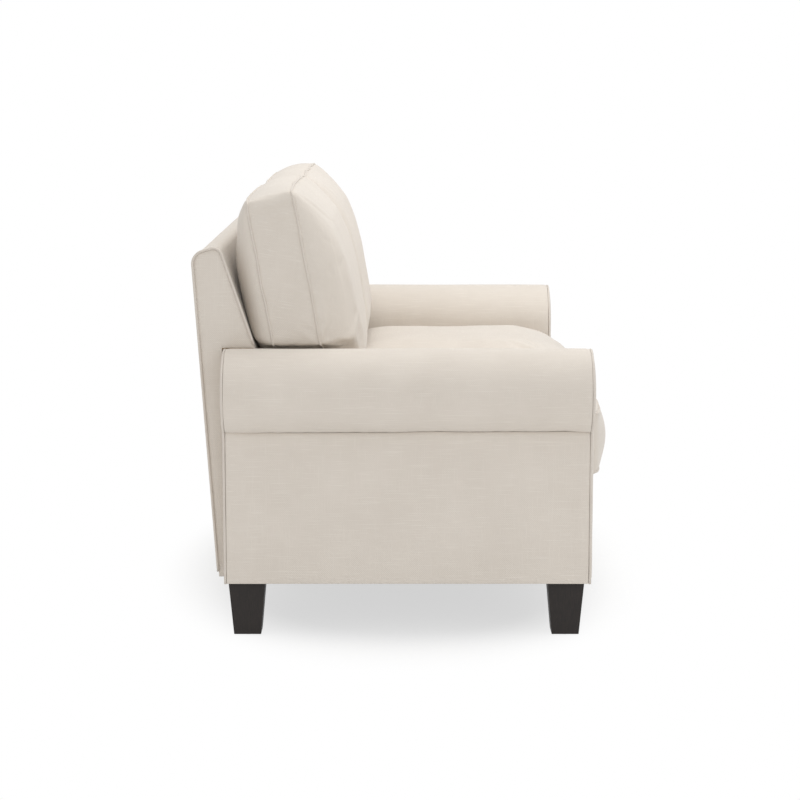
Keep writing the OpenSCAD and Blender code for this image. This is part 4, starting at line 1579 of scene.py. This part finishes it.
@dataclass(frozen=True)
class Fold:
    """A crease in the cloth, from one point to another, with a soft lip on each side."""

    start: tuple[float, float, float]
    end: tuple[float, float, float]
    depth: float
    width: float

    def dip(self, p: Vector) -> float:
        """How far the cloth moves outwards at a point."""
        a, run = Vector(self.start), Vector(self.end) - Vector(self.start)
        t = (p - a).dot(run) / run.length_squared
        if not -0.2 < t < 1.2:
            return 0.0
        far = (p - a - run * max(0.0, min(1.0, t))).length / self.width
        fade = math.sin(math.pi * (t + 0.2) / 1.4) ** 0.7
        return self.depth * fade * (0.7 * math.exp(-((far - 1.7) ** 2)) - math.exp(-(far ** 2)))


@dataclass
class CushionForm:
    """A boxed cushion's form, in its own axes: X and Y across its faces, Z through its border."""

    edges: tuple[Edge, ...]
    border: float
    top: Crown
    under: Crown
    folds: tuple[Fold, ...] = ()
    # How far the cloth may sink below the ear's foot, or None without an ear
    ear_foot: float | None = None
    # The height over which the crown's hang by the ear's foot fades
    hang: float = 0.16
    # The squares that the cover is drawn in
    voxel: float = 0.0065
    # How far the simulation may move a point, and the pressure that it blows with
    cap: float = 0.006
    pressure: float = 4.0
    # How long the cloth is blown up, in steps of the simulation
    puffs: int = 20
    # The spacing of the points round the cover and of those along a welt
    rim_step: float = 0.012
    cord_step: float = 0.009
    # How often a welt's line is smoothed
    smoothings: int = 3
    # How far a welt's middle stands out of its seam, as a share of its radius
    cord_share: float = 0.15
    # How deep and how wide a seam sits in the cloth
    groove: tuple[float, float] = (0.0009, 0.006)
    # The dents of the whole cloth, and how much of them is left at the border
    dents: tuple[Ripple, ...] = (Ripple(0.0030, 0.19, 81.0), Ripple(0.0011, 0.065, 82.0))
    border_share: float = 0.45
    # The puckers along the seams, each with the distance over which it fades
    puckers: tuple[tuple[Ripple, float], ...] = (
        (Ripple(0.0011, 0.011, 83.0), 0.014), (Ripple(0.0013, 0.034, 84.0), 0.045))
    # The creases from a corner, with how far from it they begin, fade and end
    drag: Ripple = Ripple(0.0022, 0.045, 85.0)
    drag_reach: tuple[float, float, float] = (0.03, 0.07, 0.22)
    wander: tuple[Ripple, ...] = (Ripple(0.0022, 0.085, 91.0), Ripple(0.0011, 0.030, 92.0))

    def outline(self, z: float, lift: float, step: float = 0.006) -> np.ndarray:
        """Draw the outline.

        Args:
            z: where along the border.
            lift: the share of the swell, 0 at the welts and 1 half-way between them.
            step: the spacing of the points along the sides.

        Returns:
            The points in X and Y, in order round the cushion.
        """
        corners = [(e.x, e.y + e.climb * z) for e in self.edges]
        count = len(corners)
        arcs = []
        for i, edge in enumerate(self.edges):
            bend = (corners[i - 1], corners[i], corners[(i + 1) % count])
            arcs.append(rounded_path(bend, (0.0, edge.radius, 0.0))[1:-1])
        points: list[tuple[float, float]] = []
        for i, edge in enumerate(self.edges):
            points += arcs[i]
            start, end = Vector(arcs[i][-1]), Vector(arcs[(i + 1) % count][0])
            out = Vector((end.y - start.y, start.x - end.x)).normalized()
            out *= edge.bow + lift * edge.swell
            pieces = max(1, math.ceil((end - start).length / step))
            points += [tuple(start.lerp(end, t) + out * (1 - (2 * t - 1) ** 4))
                       for t in (k / pieces for k in range(1, pieces))]
        return np.array(points)

    def reach(self, p: np.ndarray, lift: float) -> np.ndarray:
        """Measure how far the outline lies from the middle, in the direction of each point.

        Args:
            p: the points, one row each.
            lift: the share of the swell.

        Returns:
            The distances.
        """
        angle = np.arctan2(p[:, 1], p[:, 0])
        t = np.clip(p[:, 2] / self.border + 0.5, 0, 1)
        found = []
        for level in (-0.5, 0.5):
            x, y = self.outline(level * self.border, lift).T
            found.append(np.interp(angle, np.arctan2(y, x), np.hypot(x, y), period=2 * math.pi))
        return (1 - t) * found[0] + t * found[1]

    def share(self, p: np.ndarray) -> np.ndarray:
        """How far each point lies from the middle, 0, to the welts' outline, 1."""
        return np.hypot(p[:, 0], p[:, 1]) / self.reach(p, 0.0)

    def fill_out(self, p: np.ndarray) -> np.ndarray:
        """Turn the points of the plain boxed shape into those of the full cushion."""
        half = self.border / 2
        plain = self.reach(p, 0.0)
        share = np.hypot(p[:, 0], p[:, 1]) / plain
        lift = np.sin(math.pi * np.clip(p[:, 2] / self.border + 0.5, 0, 1))
        grow = 1 + share ** 8 * lift * (self.reach(p, 1.0) / plain - 1)
        top, under = (crown.height(share, p[:, 0], p[:, 1]) for crown in (self.top, self.under))
        rise = np.where(p[:, 2] > 0, top, under)
        z = p[:, 2] + np.sign(p[:, 2]) * rise * np.minimum(1.0, np.abs(p[:, 2]) / half) ** 4
        y = p[:, 1] * grow
        if self.ear_foot is not None:
            # The crown hangs down to the level that the ear stands on
            foot = self.edges[1]
            hang = np.clip(1.15 - (y - foot.y - foot.climb * p[:, 2]) / self.hang, 0, 1)
            y += foot.climb * (z - p[:, 2]) * np.where(y > -0.9 * self.top.half, hang, 0)
        return np.stack([p[:, 0] * grow, y, z], axis=1)

    def rest(self, p: np.ndarray) -> np.ndarray:
        """Keep the points out of what the cushion rests on."""
        p = p.copy()
        p[:, 2] = np.maximum(p[:, 2], -self.border / 2 - self.under.depth(p[:, 1]))
        if self.ear_foot is not None:
            notch = self.edges[1]
            low = notch.y + notch.climb * p[:, 2] - self.ear_foot
            p[:, 1] = np.where(p[:, 0] > notch.x + notch.radius, np.maximum(p[:, 1], low), p[:, 1])
        return p

    def sewn(self, name: str) -> bpy.types.Object:
        """Sew and stuff the cover, with cloth simulation.

        Args:
            name: the new object's name.

        Returns:
            The cover, in the cushion's own axes and before its creases.
        """
        half = self.border / 2
        rims = []
        for z in (-half, half):
            line = [Vector((x, y, z)) for x, y in self.outline(z, 0.0, self.rim_step)]
            rims.append(chain(f"{name}_rim", line, closed=True))
        obj = join(rims, name)
        with editing(obj, Element.EDGE):
            bpy.ops.mesh.select_all(action="SELECT")
            bpy.ops.mesh.bridge_edge_loops()
            for level in (-half, half):
                pick(obj, Element.EDGE, lambda e: all(abs(v.co.z - level) < 1e-6 for v in e.verts))
                bpy.ops.mesh.edge_face_add()
        turn_outwards(obj)
        apply_modifier(obj, "REMESH", mode="VOXEL", voxel_size=self.voxel)
        set_points(obj, self.fill_out(points_of(obj)))
        # The steep sides of the crowns stretch the squares, so they are drawn again
        apply_modifier(obj, "REMESH", mode="VOXEL", voxel_size=self.voxel)
        self.blow_up(obj)
        return obj

    def crease(self, obj: bpy.types.Object, seed: float) -> None:
        """Give the cover its soft dents, the puckers along its seams and its folds, and finish it.

        Args:
            obj: the cover.
            seed: sets its creases apart from another cushion's.
        """
        p = points_of(obj)
        half = self.border / 2
        share = self.share(p)
        angle = np.arctan2(p[:, 1], p[:, 0])
        flat_reach = self.reach(p, 0.0)
        # Creases start from the sewn corners, and not from the ear's tight ones or the notch before it
        corners = [Vector((e.x, e.y, 0.0)) for e in self.edges if 0.015 < e.radius < 0.030]
        begin, fade, end = self.drag_reach
        moved = []
        for i, v in enumerate(obj.data.vertices):
            place = v.co
            seam = math.hypot(min(abs(place.z - half), abs(place.z + half)) if share[i] > 0.8 else half,
                              max(0.0, 1 - share[i]) * flat_reach[i])
            along = Vector((angle[i] * 0.33, 0.0, math.copysign(0.4, place.z)))
            pucker = sum(math.exp(-seam / reach) * ripple.at(along, seed) for ripple, reach in self.puckers)
            dent = sum(ripple.at(place, seed) for ripple in self.dents)
            calm = 1.0 if share[i] < 0.9 else self.border_share
            drag = 0.0
            for corner in corners:
                off = Vector((place.x, place.y, 0.0)) - corner
                far = off.length
                if far < end and share[i] < 0.99:
                    turn = Vector((math.atan2(off.y, off.x) * 0.3, 0.0, math.copysign(0.2, place.z)))
                    drag += min(1.0, far / begin) * math.exp(-far / fade) * self.drag.at(turn, seed)
            fold = sum(f.dip(place) for f in self.folds)
            sunk = self.groove[0] * math.exp(-((seam / self.groove[1]) ** 2))
            moved.append(place + v.normal * (pucker + dent * calm + drag + fold - sunk))
        set_points(obj, self.rest(np.array(moved)))
        apply_modifier(obj, "SUBSURF", levels=1, render_levels=1)
        choose(obj)
        bpy.ops.object.shade_smooth()

    def blow_up(self, obj: bpy.types.Object) -> None:
        """Blow the cover up as cloth between its seams, and keep its points within a cap of their places.

        Args:
            obj: the cover.
        """
        scene = bpy.context.scene
        half = self.border / 2
        before = points_of(obj)
        near = (np.abs(np.abs(before[:, 2]) - half) < self.voxel * 1.1) & (self.share(before) > 0.97)
        seam = obj.vertex_groups.new(name="seam")
        seam.add([int(i) for i in np.nonzero(near)[0]], 1.0, "REPLACE")
        choose(obj)
        cloth = obj.modifiers.new("cloth", "CLOTH")
        cloth.settings.quality = 4
        cloth.settings.mass = 0.3
        cloth.settings.tension_stiffness = 12
        cloth.settings.compression_stiffness = 8
        cloth.settings.bending_stiffness = 0.4
        cloth.settings.use_pressure = True
        cloth.settings.uniform_pressure_force = self.pressure
        cloth.settings.vertex_group_mass = "seam"
        cloth.settings.effector_weights.gravity = 0.0
        cloth.collision_settings.use_collision = False
        cloth.point_cache.frame_start, cloth.point_cache.frame_end = 1, self.puffs
        for number in range(1, self.puffs + 1):
            scene.frame_set(number)
        bpy.ops.object.modifier_apply(modifier=cloth.name)
        scene.frame_set(1)
        move = points_of(obj) - before
        size = np.linalg.norm(move, axis=1, keepdims=True)
        move *= np.minimum(1.0, self.cap / np.maximum(size, 1e-9))
        set_points(obj, before + move)
        obj.vertex_groups.clear()
        most = 1000 * float(np.linalg.norm(move, axis=1).max())
        LOG.info("%s blown up, moved by %.1f mm at most", obj.name, most)

    def cords(self, cover: bpy.types.Object, name: str, seed: float) -> bpy.types.Object:
        """Sew a welt into each seam, where the finished cover has it.

        Args:
            cover: the finished cover, in the cushion's own axes.
            name: the new object's name.
            seed: sets the wander of its seams apart.

        Returns:
            Both welts as one piece.
        """
        skin = BVHTree.FromPolygons([v.co for v in cover.data.vertices],
                                    [f.vertices[:] for f in cover.data.polygons])
        rings = []
        for up in (-1, 1):
            line = []
            for x, y in self.outline(up * self.border / 2, 0.0, self.cord_step):
                along = Vector((math.atan2(y, x) * 0.33, 0.0, 0.0))
                wander = sum(ripple.at(along, up + seed) for ripple in self.wander)
                spot, normal, _, _ = skin.find_nearest(Vector((x, y, up * self.border / 2 + wander)))
                line.append(spot + normal * self.cord_off)
            for _ in range(self.smoothings):
                line = [(line[i - 1] + line[i] * 2 + line[(i + 1) % len(line)]) / 4
                        for i in range(len(line))]
            rings.append(cord_along(f"{name}_ring", line, BODY.welt_r, closed=True))
        return join(rings, name)

    @property
    def cord_off(self) -> float:
        """How far a welt's middle stands out of the seam that it is sewn into."""
        return self.cord_share * BODY.welt_r


@dataclass
class Cushions:
    """A pair of loose cushions, left and right, with their welts."""

    word: str
    form: CushionForm
    lean: float
    fill: float
    finish: Finish

    def placement(self, side: Side) -> Matrix:
        """Find where a cushion lies, from the middle of its core.

        Args:
            side: which side of the loveseat.

        Returns:
            From the cushion's own axes to the frame's.
        """
        low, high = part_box(f"{self.word}_core_{side.word}")
        return Matrix.Translation((low + high) / 2) @ Matrix.Rotation(self.lean, 4, "X")

    def build(self) -> None:
        """Build and dress both cushions."""
        blank = self.form.sewn(f"{self.word}_cushion_blank")
        for side in Side:
            s = side.word
            seed = 3.0 * side.value
            cover = duplicate(blank, f"{self.word}_cushion_{s}_cloth")
            self.form.crease(cover, seed)
            cords = self.form.cords(cover, f"{self.word}_cushion_{s}_welts", seed)
            for obj in (cover, cords):
                if side is Side.LEFT:
                    mirror_across(obj)
                obj.data.transform(self.placement(side))
                obj.data.update()
            welt_node = {"seat": f"seat_welts_{s}", "back": f"back_cushion_welts_{s}"}[self.word]
            Piece(cover, f"{self.word}_{s}", "upholstery", self.finish,
                  (f"{self.word}_cushion_{s}", f"{self.word}_core_{s}"), self.fill).place()
            Piece(cords, f"{self.word}_{s}", "upholstery", Finish.PIPING, (welt_node,)).place()
        bpy.data.objects.remove(blank)


def seat_form() -> CushionForm:
    """The seat cushion's form, fitted to the frame's node."""
    low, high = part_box("seat_welts_right")
    a = (high.x - low.x) / 2 - BODY.welt_proud
    # The front bows by this much, so half of it lies in front of the plain outline
    bow = 0.008
    b = (high.y - low.y) / 2 - BODY.welt_proud - bow / 2
    edges = (Edge(a, -b, -0.003, 0.0015), Edge(a, b),
             Edge(-a, b, -0.003, 0.0015), Edge(-a, -b, bow, 0.020))
    top = Crown(0.068, (3.5, 3.5, 6.0, 0.75))
    under = Crown(0.0095, (14.0, 14.0, 14.0, 0.5), (0.0097, 0.0))
    return CushionForm(edges, 0.133, top, under)


def back_form() -> CushionForm:
    """The back cushion's form, fitted to the frame's node, with the ear that lies over the arm."""
    low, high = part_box("back_cushion_welts_right")
    core_low, core_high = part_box("back_core_right")
    middle = (core_low + core_high) / 2
    a, ear_x, b = middle.x - low.x - BODY.welt_proud, high.x - BODY.welt_proud - middle.x, 0.447 / 2
    roll = BODY.roll_z + math.sqrt(BODY.roll_r ** 2 - (BODY.roll_x - high.x) ** 2)
    foot = (roll + BODY.welt_proud + 0.0006 - middle.z) / math.cos(CUSHION_LEAN)
    climb = -math.tan(CUSHION_LEAN)
    # The front welt climbs higher than the rear one
    top, top_climb = b + 0.0045, 0.08
    # The notch is as round as the node's, which leaves 22 mm of the ear's foot past it
    turn = ear_x - a - 0.022
    edges = (Edge(a, -b, -0.001, 0.001), Edge(a, foot, 0.0, 0.0, climb, turn),
             Edge(ear_x, foot, -0.003, 0.0015, climb, 0.009),
             Edge(ear_x, top, 0.005, 0.010, top_climb, 0.012),
             Edge(-a, top, -0.003, 0.0015, top_climb), Edge(-a, -b, 0.0, 0.002))
    # The border folds where it turns from the side to the top, and tucks in at the ear's foot
    folds = (Fold((ear_x - 0.004, b - 0.036, -0.045), (ear_x - 0.002, b - 0.024, 0.046), 0.0030, 0.008),
             Fold((ear_x, foot + 0.012, 0.046), (ear_x - 0.008, foot + 0.050, 0.012), 0.0022, 0.007))
    border = 0.100
    shape = {"ends": (-a, ear_x), "half": top, "turn": turn}
    rear_room = (0.0515, math.tan(BODY.lean_in - CUSHION_LEAN))
    rise = climb * border / 2
    front = BoxedCrown(0.084, (12.0, 2.0, 8.0, 0.62), notch=(a, foot + rise), **shape)
    rear = BoxedCrown(0.048, (12.0, 5.0, 4.0, 0.62), rear_room, notch=(a, foot - rise), **shape)
    return CushionForm(edges, border, front, rear, folds, ear_foot=0.001)


# Zips


@dataclass
class Zip:
    """A concealed coil zip on the rear border of a seat cushion: tape, coil and slider."""

    side: Side
    tooth_step: float = 0.0042
    tape_t: float = 0.0009
    # How far the teeth end from each end of the tape
    margin: float = 0.006
    ripple: Ripple = Ripple(0.0002, 0.02, 101.0)

    def tape(self) -> bpy.types.Object:
        """Sew the tape with its coil of teeth.

        Returns:
            The tape.
        """
        low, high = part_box(f"seat_zip_{self.side.word}")
        middle = (low + high) / 2
        name = f"seat_zip_{self.side.word}_tape"
        obj = new_grid(name, 70, 8)

        def sewn(p: Vector) -> Vector:
            """Place a point of the tape, from where it lies in the plain grid."""
            x, z = middle.x + (high.x - low.x) * p.x, middle.z + (high.z - low.z) * p.y
            return Vector((x, low.y + 0.0006 + self.ripple.at(Vector((x, 0, z))), z))

        ease(obj, sewn)
        apply_modifier(obj, "SOLIDIFY", thickness=self.tape_t, offset=0.0)
        count = int((high.x - low.x - 2 * self.margin) / self.tooth_step)
        teeth = new_block("teeth", (low.x + self.margin, high.y - 0.0007, middle.z),
                          (self.tooth_step * 0.55, 0.0013, 0.0055))
        apply_modifier(teeth, "BEVEL", width=0.0004, segments=1)
        apply_modifier(teeth, "ARRAY", count=count, use_relative_offset=False, use_constant_offset=True,
                       constant_offset_displace=(self.tooth_step, 0, 0))
        return join((obj, teeth), name)

    def slider(self) -> bpy.types.Object:
        """Cast the slider with its pull.

        Returns:
            The slider.
        """
        low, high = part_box(f"seat_zip_slider_{self.side.word}")
        middle = (low + high) / 2
        name = f"seat_zip_slider_{self.side.word}_casting"
        obj = new_block(name, (middle.x, middle.y, high.z - 0.005), (high.x - low.x, high.y - low.y, 0.010))
        with editing(obj, Element.FACE):
            pick(obj, Element.FACE, lambda f: f.normal.x > 0.9)
            bpy.ops.transform.resize(value=(1, 1, 0.6))
        apply_modifier(obj, "BEVEL", width=0.0007, segments=2)
        pull = new_block("pull", (middle.x, high.y - 0.0006, low.z + 0.0125), (0.006, 0.0012, 0.025))
        with editing(pull, Element.FACE):
            pick(pull, Element.FACE, lambda f: abs(f.normal.y) > 0.9)
            bpy.ops.mesh.inset(thickness=0.001, depth=-0.0003)
        apply_modifier(pull, "BEVEL", width=0.0003, segments=2)
        return join((obj, pull), name)

    def build(self) -> None:
        """Build and dress the zip."""
        s = self.side.word
        Piece(self.tape(), f"seat_{s}", "lining", Finish.COTTON, (f"seat_zip_{s}",)).place()
        Piece(self.slider(), f"zip_{s}", "steel", Finish.STEEL, (f"seat_zip_slider_{s}",)).place()


# Legs and frame


@dataclass
class Leg:
    """A square tapered leg of stained wood."""

    node: str
    foot_width: float = 0.058
    foot_inset: float = 0.004
    arris: float = 0.0022

    def build(self) -> None:
        """Saw, taper and round the leg, and dress it."""
        low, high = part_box(self.node)
        middle = (low + high) / 2
        obj = new_block(f"{self.node}_wood", middle, high - low)
        share = self.foot_width / (high.x - low.x)
        with editing(obj, Element.FACE):
            pick(obj, Element.FACE, lambda f: f.normal.z < -0.9)
            bpy.ops.transform.resize(value=(share, share, 1), center_override=(middle.x, middle.y, low.z))
            bpy.ops.mesh.inset(thickness=self.foot_inset, depth=0.0)
            bpy.ops.mesh.select_all(action="SELECT")
            bpy.ops.mesh.subdivide(number_cuts=3)
        apply_modifier(obj, "BEVEL", width=self.arris, segments=3, limit_method="ANGLE",
                       angle_limit=math.radians(60))
        choose(obj)
        bpy.ops.object.shade_smooth_by_angle(angle=math.radians(40))
        Piece(obj, "body", "stained_wood", Finish.LEG_WOOD, (self.node,)).place()


@dataclass
class HiddenFrame:
    """The nodes that keep the frame's own meshes: timber, springs, webbing and hardware."""

    finishes: dict[str, Finish] = field(default_factory=lambda: {
        "timber": Finish.FRAME_WOOD, "steel": Finish.STEEL, "glide_plastic": Finish.PLASTIC,
        "foam": Finish.FOAM, "lining": Finish.JUTE, "upholstery": Finish.LINEN,
        "stained_wood": Finish.LEG_WOOD, "dust_cloth": Finish.FELT,
    })

    def build(self) -> None:
        """Dress every node of the frame."""
        slots = {row["node"]: row["material_slot"] for row in frame["record"]["subparts"]}
        for name, node in frame["nodes"].items():
            material = self.finishes[slots[name]].material()
            for place in node.material_slots:
                place.material = material
            LOG.info("%s dressed as %s", name, material.name)


# The room


@dataclass
class Studio:
    """A pale floor, soft light and the camera."""

    lens_mm: float = 98.5
    eye: tuple[float, float, float] = (-5.294, 0.0112, 1.2044)
    pitch: float = math.radians(8.607)
    sky: float = 0.75
    # The wide lamp hangs over the front edge of the seat
    lamp: float = 31.0
    lamp_size: float = 1.8
    lamp_place: tuple[float, float, float] = (0.0, -0.6, 2.9)
    # The fill comes low from the side that the camera looks at
    fill: float = 0.38
    fill_width: float = math.radians(60)
    fill_turn: tuple[float, float, float] = (math.radians(5), math.radians(-70), 0.0)
    # How much of the floor that the camera sees is plain white paper, near the seat and out of its shade
    paper_white: tuple[float, float] = (0.62, 1.0)
    # How far from the middle, in metres, that change begins and ends
    shade_reach: tuple[float, float] = (0.68, 1.05)
    # The seat isn't as deep as it is wide, so its shade reaches less far at the front and the back
    shade_depth: float = 1.7

    def seen(self, tree: bpy.types.NodeTree) -> bpy.types.NodeSocket:
        """Tell what the camera or a shiny surface sees, 1, from what only lights the loveseat, 0.

        Args:
            tree: the tree that gets the nodes.

        Returns:
            The output.
        """
        path = add_node(tree, "ShaderNodeLightPath")
        either = add_node(tree, "ShaderNodeMath", {"operation": "MAXIMUM"},
                          {0: path.outputs["Is Camera Ray"], 1: path.outputs["Is Glossy Ray"]})
        return either.outputs[0]

    def floor(self) -> None:
        """Lay a floor that is white to the camera where nothing shades it."""
        choose(None)
        bpy.ops.mesh.primitive_plane_add(size=60, location=(0, 0, 0))
        obj = name_last("studio_floor")
        material, tree, out = new_tree("white_studio_paper")
        paper = add_node(tree, "ShaderNodeBsdfDiffuse", {"Color": linear("#fbfbfb")})
        white = add_node(tree, "ShaderNodeEmission", {"Color": (1, 1, 1, 1), "Strength": 1.0})
        place = add_node(tree, "ShaderNodeTexCoord").outputs["Object"]
        shade = add_node(tree, "ShaderNodeVectorMath",
                         {"operation": "MULTIPLY", 1: (1.0, self.shade_depth, 1.0)}, {0: place})
        far = add_node(tree, "ShaderNodeVectorMath", {"operation": "LENGTH"}, {0: shade.outputs[0]})
        whiter = add_node(tree, "ShaderNodeMapRange", {
            "interpolation_type": "SMOOTHSTEP",
            "From Min": self.shade_reach[0], "From Max": self.shade_reach[1],
            "To Min": self.paper_white[0], "To Max": self.paper_white[1]}, {"Value": far.outputs["Value"]})
        share = add_node(tree, "ShaderNodeMath", {"operation": "MULTIPLY"},
                         {0: self.seen(tree), 1: whiter.outputs[0]})
        mixed = add_node(tree, "ShaderNodeMixShader",
                         links={0: share.outputs[0], 1: paper.outputs[0], 2: white.outputs[0]})
        tree.links.new(mixed.outputs[0], out.inputs[0])
        obj.data.materials.append(material)

    def light(self) -> None:
        """Light the loveseat from a white sky, a wide soft lamp above it and a weak fill."""
        world = bpy.data.worlds.new("studio")
        bpy.context.scene.world = world
        world.use_nodes = True
        tree = world.node_tree
        tree.nodes.clear()
        out = add_node(tree, "ShaderNodeOutputWorld")
        strength = add_node(tree, "ShaderNodeMapRange", {"To Min": self.sky, "To Max": 1.0},
                            {"Value": self.seen(tree)})
        sky = add_node(tree, "ShaderNodeBackground", {"Color": (1, 1, 1, 1)},
                       {"Strength": strength.outputs[0]})
        tree.links.new(sky.outputs[0], out.inputs[0])
        lamp = bpy.data.lights.new("soft_lamp", "AREA")
        lamp.energy = self.lamp
        lamp.size = self.lamp_size
        fill = bpy.data.lights.new("soft_fill", "SUN")
        fill.energy = self.fill
        fill.angle = self.fill_width
        level, origin = (0.0, 0.0, 0.0), (0.0, 0.0, 0.0)
        for light, place, turn in ((lamp, self.lamp_place, level), (fill, origin, self.fill_turn)):
            obj = bpy.data.objects.new(light.name, light)
            obj.location = place
            obj.rotation_euler = turn
            bpy.context.scene.collection.objects.link(obj)

    def camera(self) -> None:
        """Stand the camera where the photograph was taken from."""
        data = bpy.data.cameras.new("photo_camera")
        data.lens = self.lens_mm
        data.sensor_width = 36.0
        data.clip_end = 200.0
        obj = bpy.data.objects.new("photo_camera", data)
        obj.location = self.eye
        obj.rotation_euler = (math.pi / 2 - self.pitch, 0, -math.pi / 2)
        bpy.context.scene.collection.objects.link(obj)
        bpy.context.scene.camera = obj
        bpy.context.scene.view_settings.view_transform = "Standard"

    def build(self) -> None:
        """Set the studio up."""
        self.floor()
        self.light()
        self.camera()


def main() -> None:
    """Build the loveseat's looks in order."""
    logging.basicConfig(level=logging.INFO, format="%(name)s: %(message)s")
    Studio().build()
    HiddenFrame().build()
    for side in Side:
        Arm(side).build()
    Back().build()
    Deck().build()
    Cushions("seat", seat_form(), 0.0, 0.9, Finish.LINEN).build()
    Cushions("back", back_form(), math.pi / 2 - CUSHION_LEAN, 0.8, Finish.LEANING_LINEN).build()
    for side in Side:
        Zip(side).build()
    for node in ("leg_front_left", "leg_front_right", "leg_rear_left", "leg_rear_right"):
        Leg(node).build()
    choose(None)


if __name__ == "__main__":
    main()
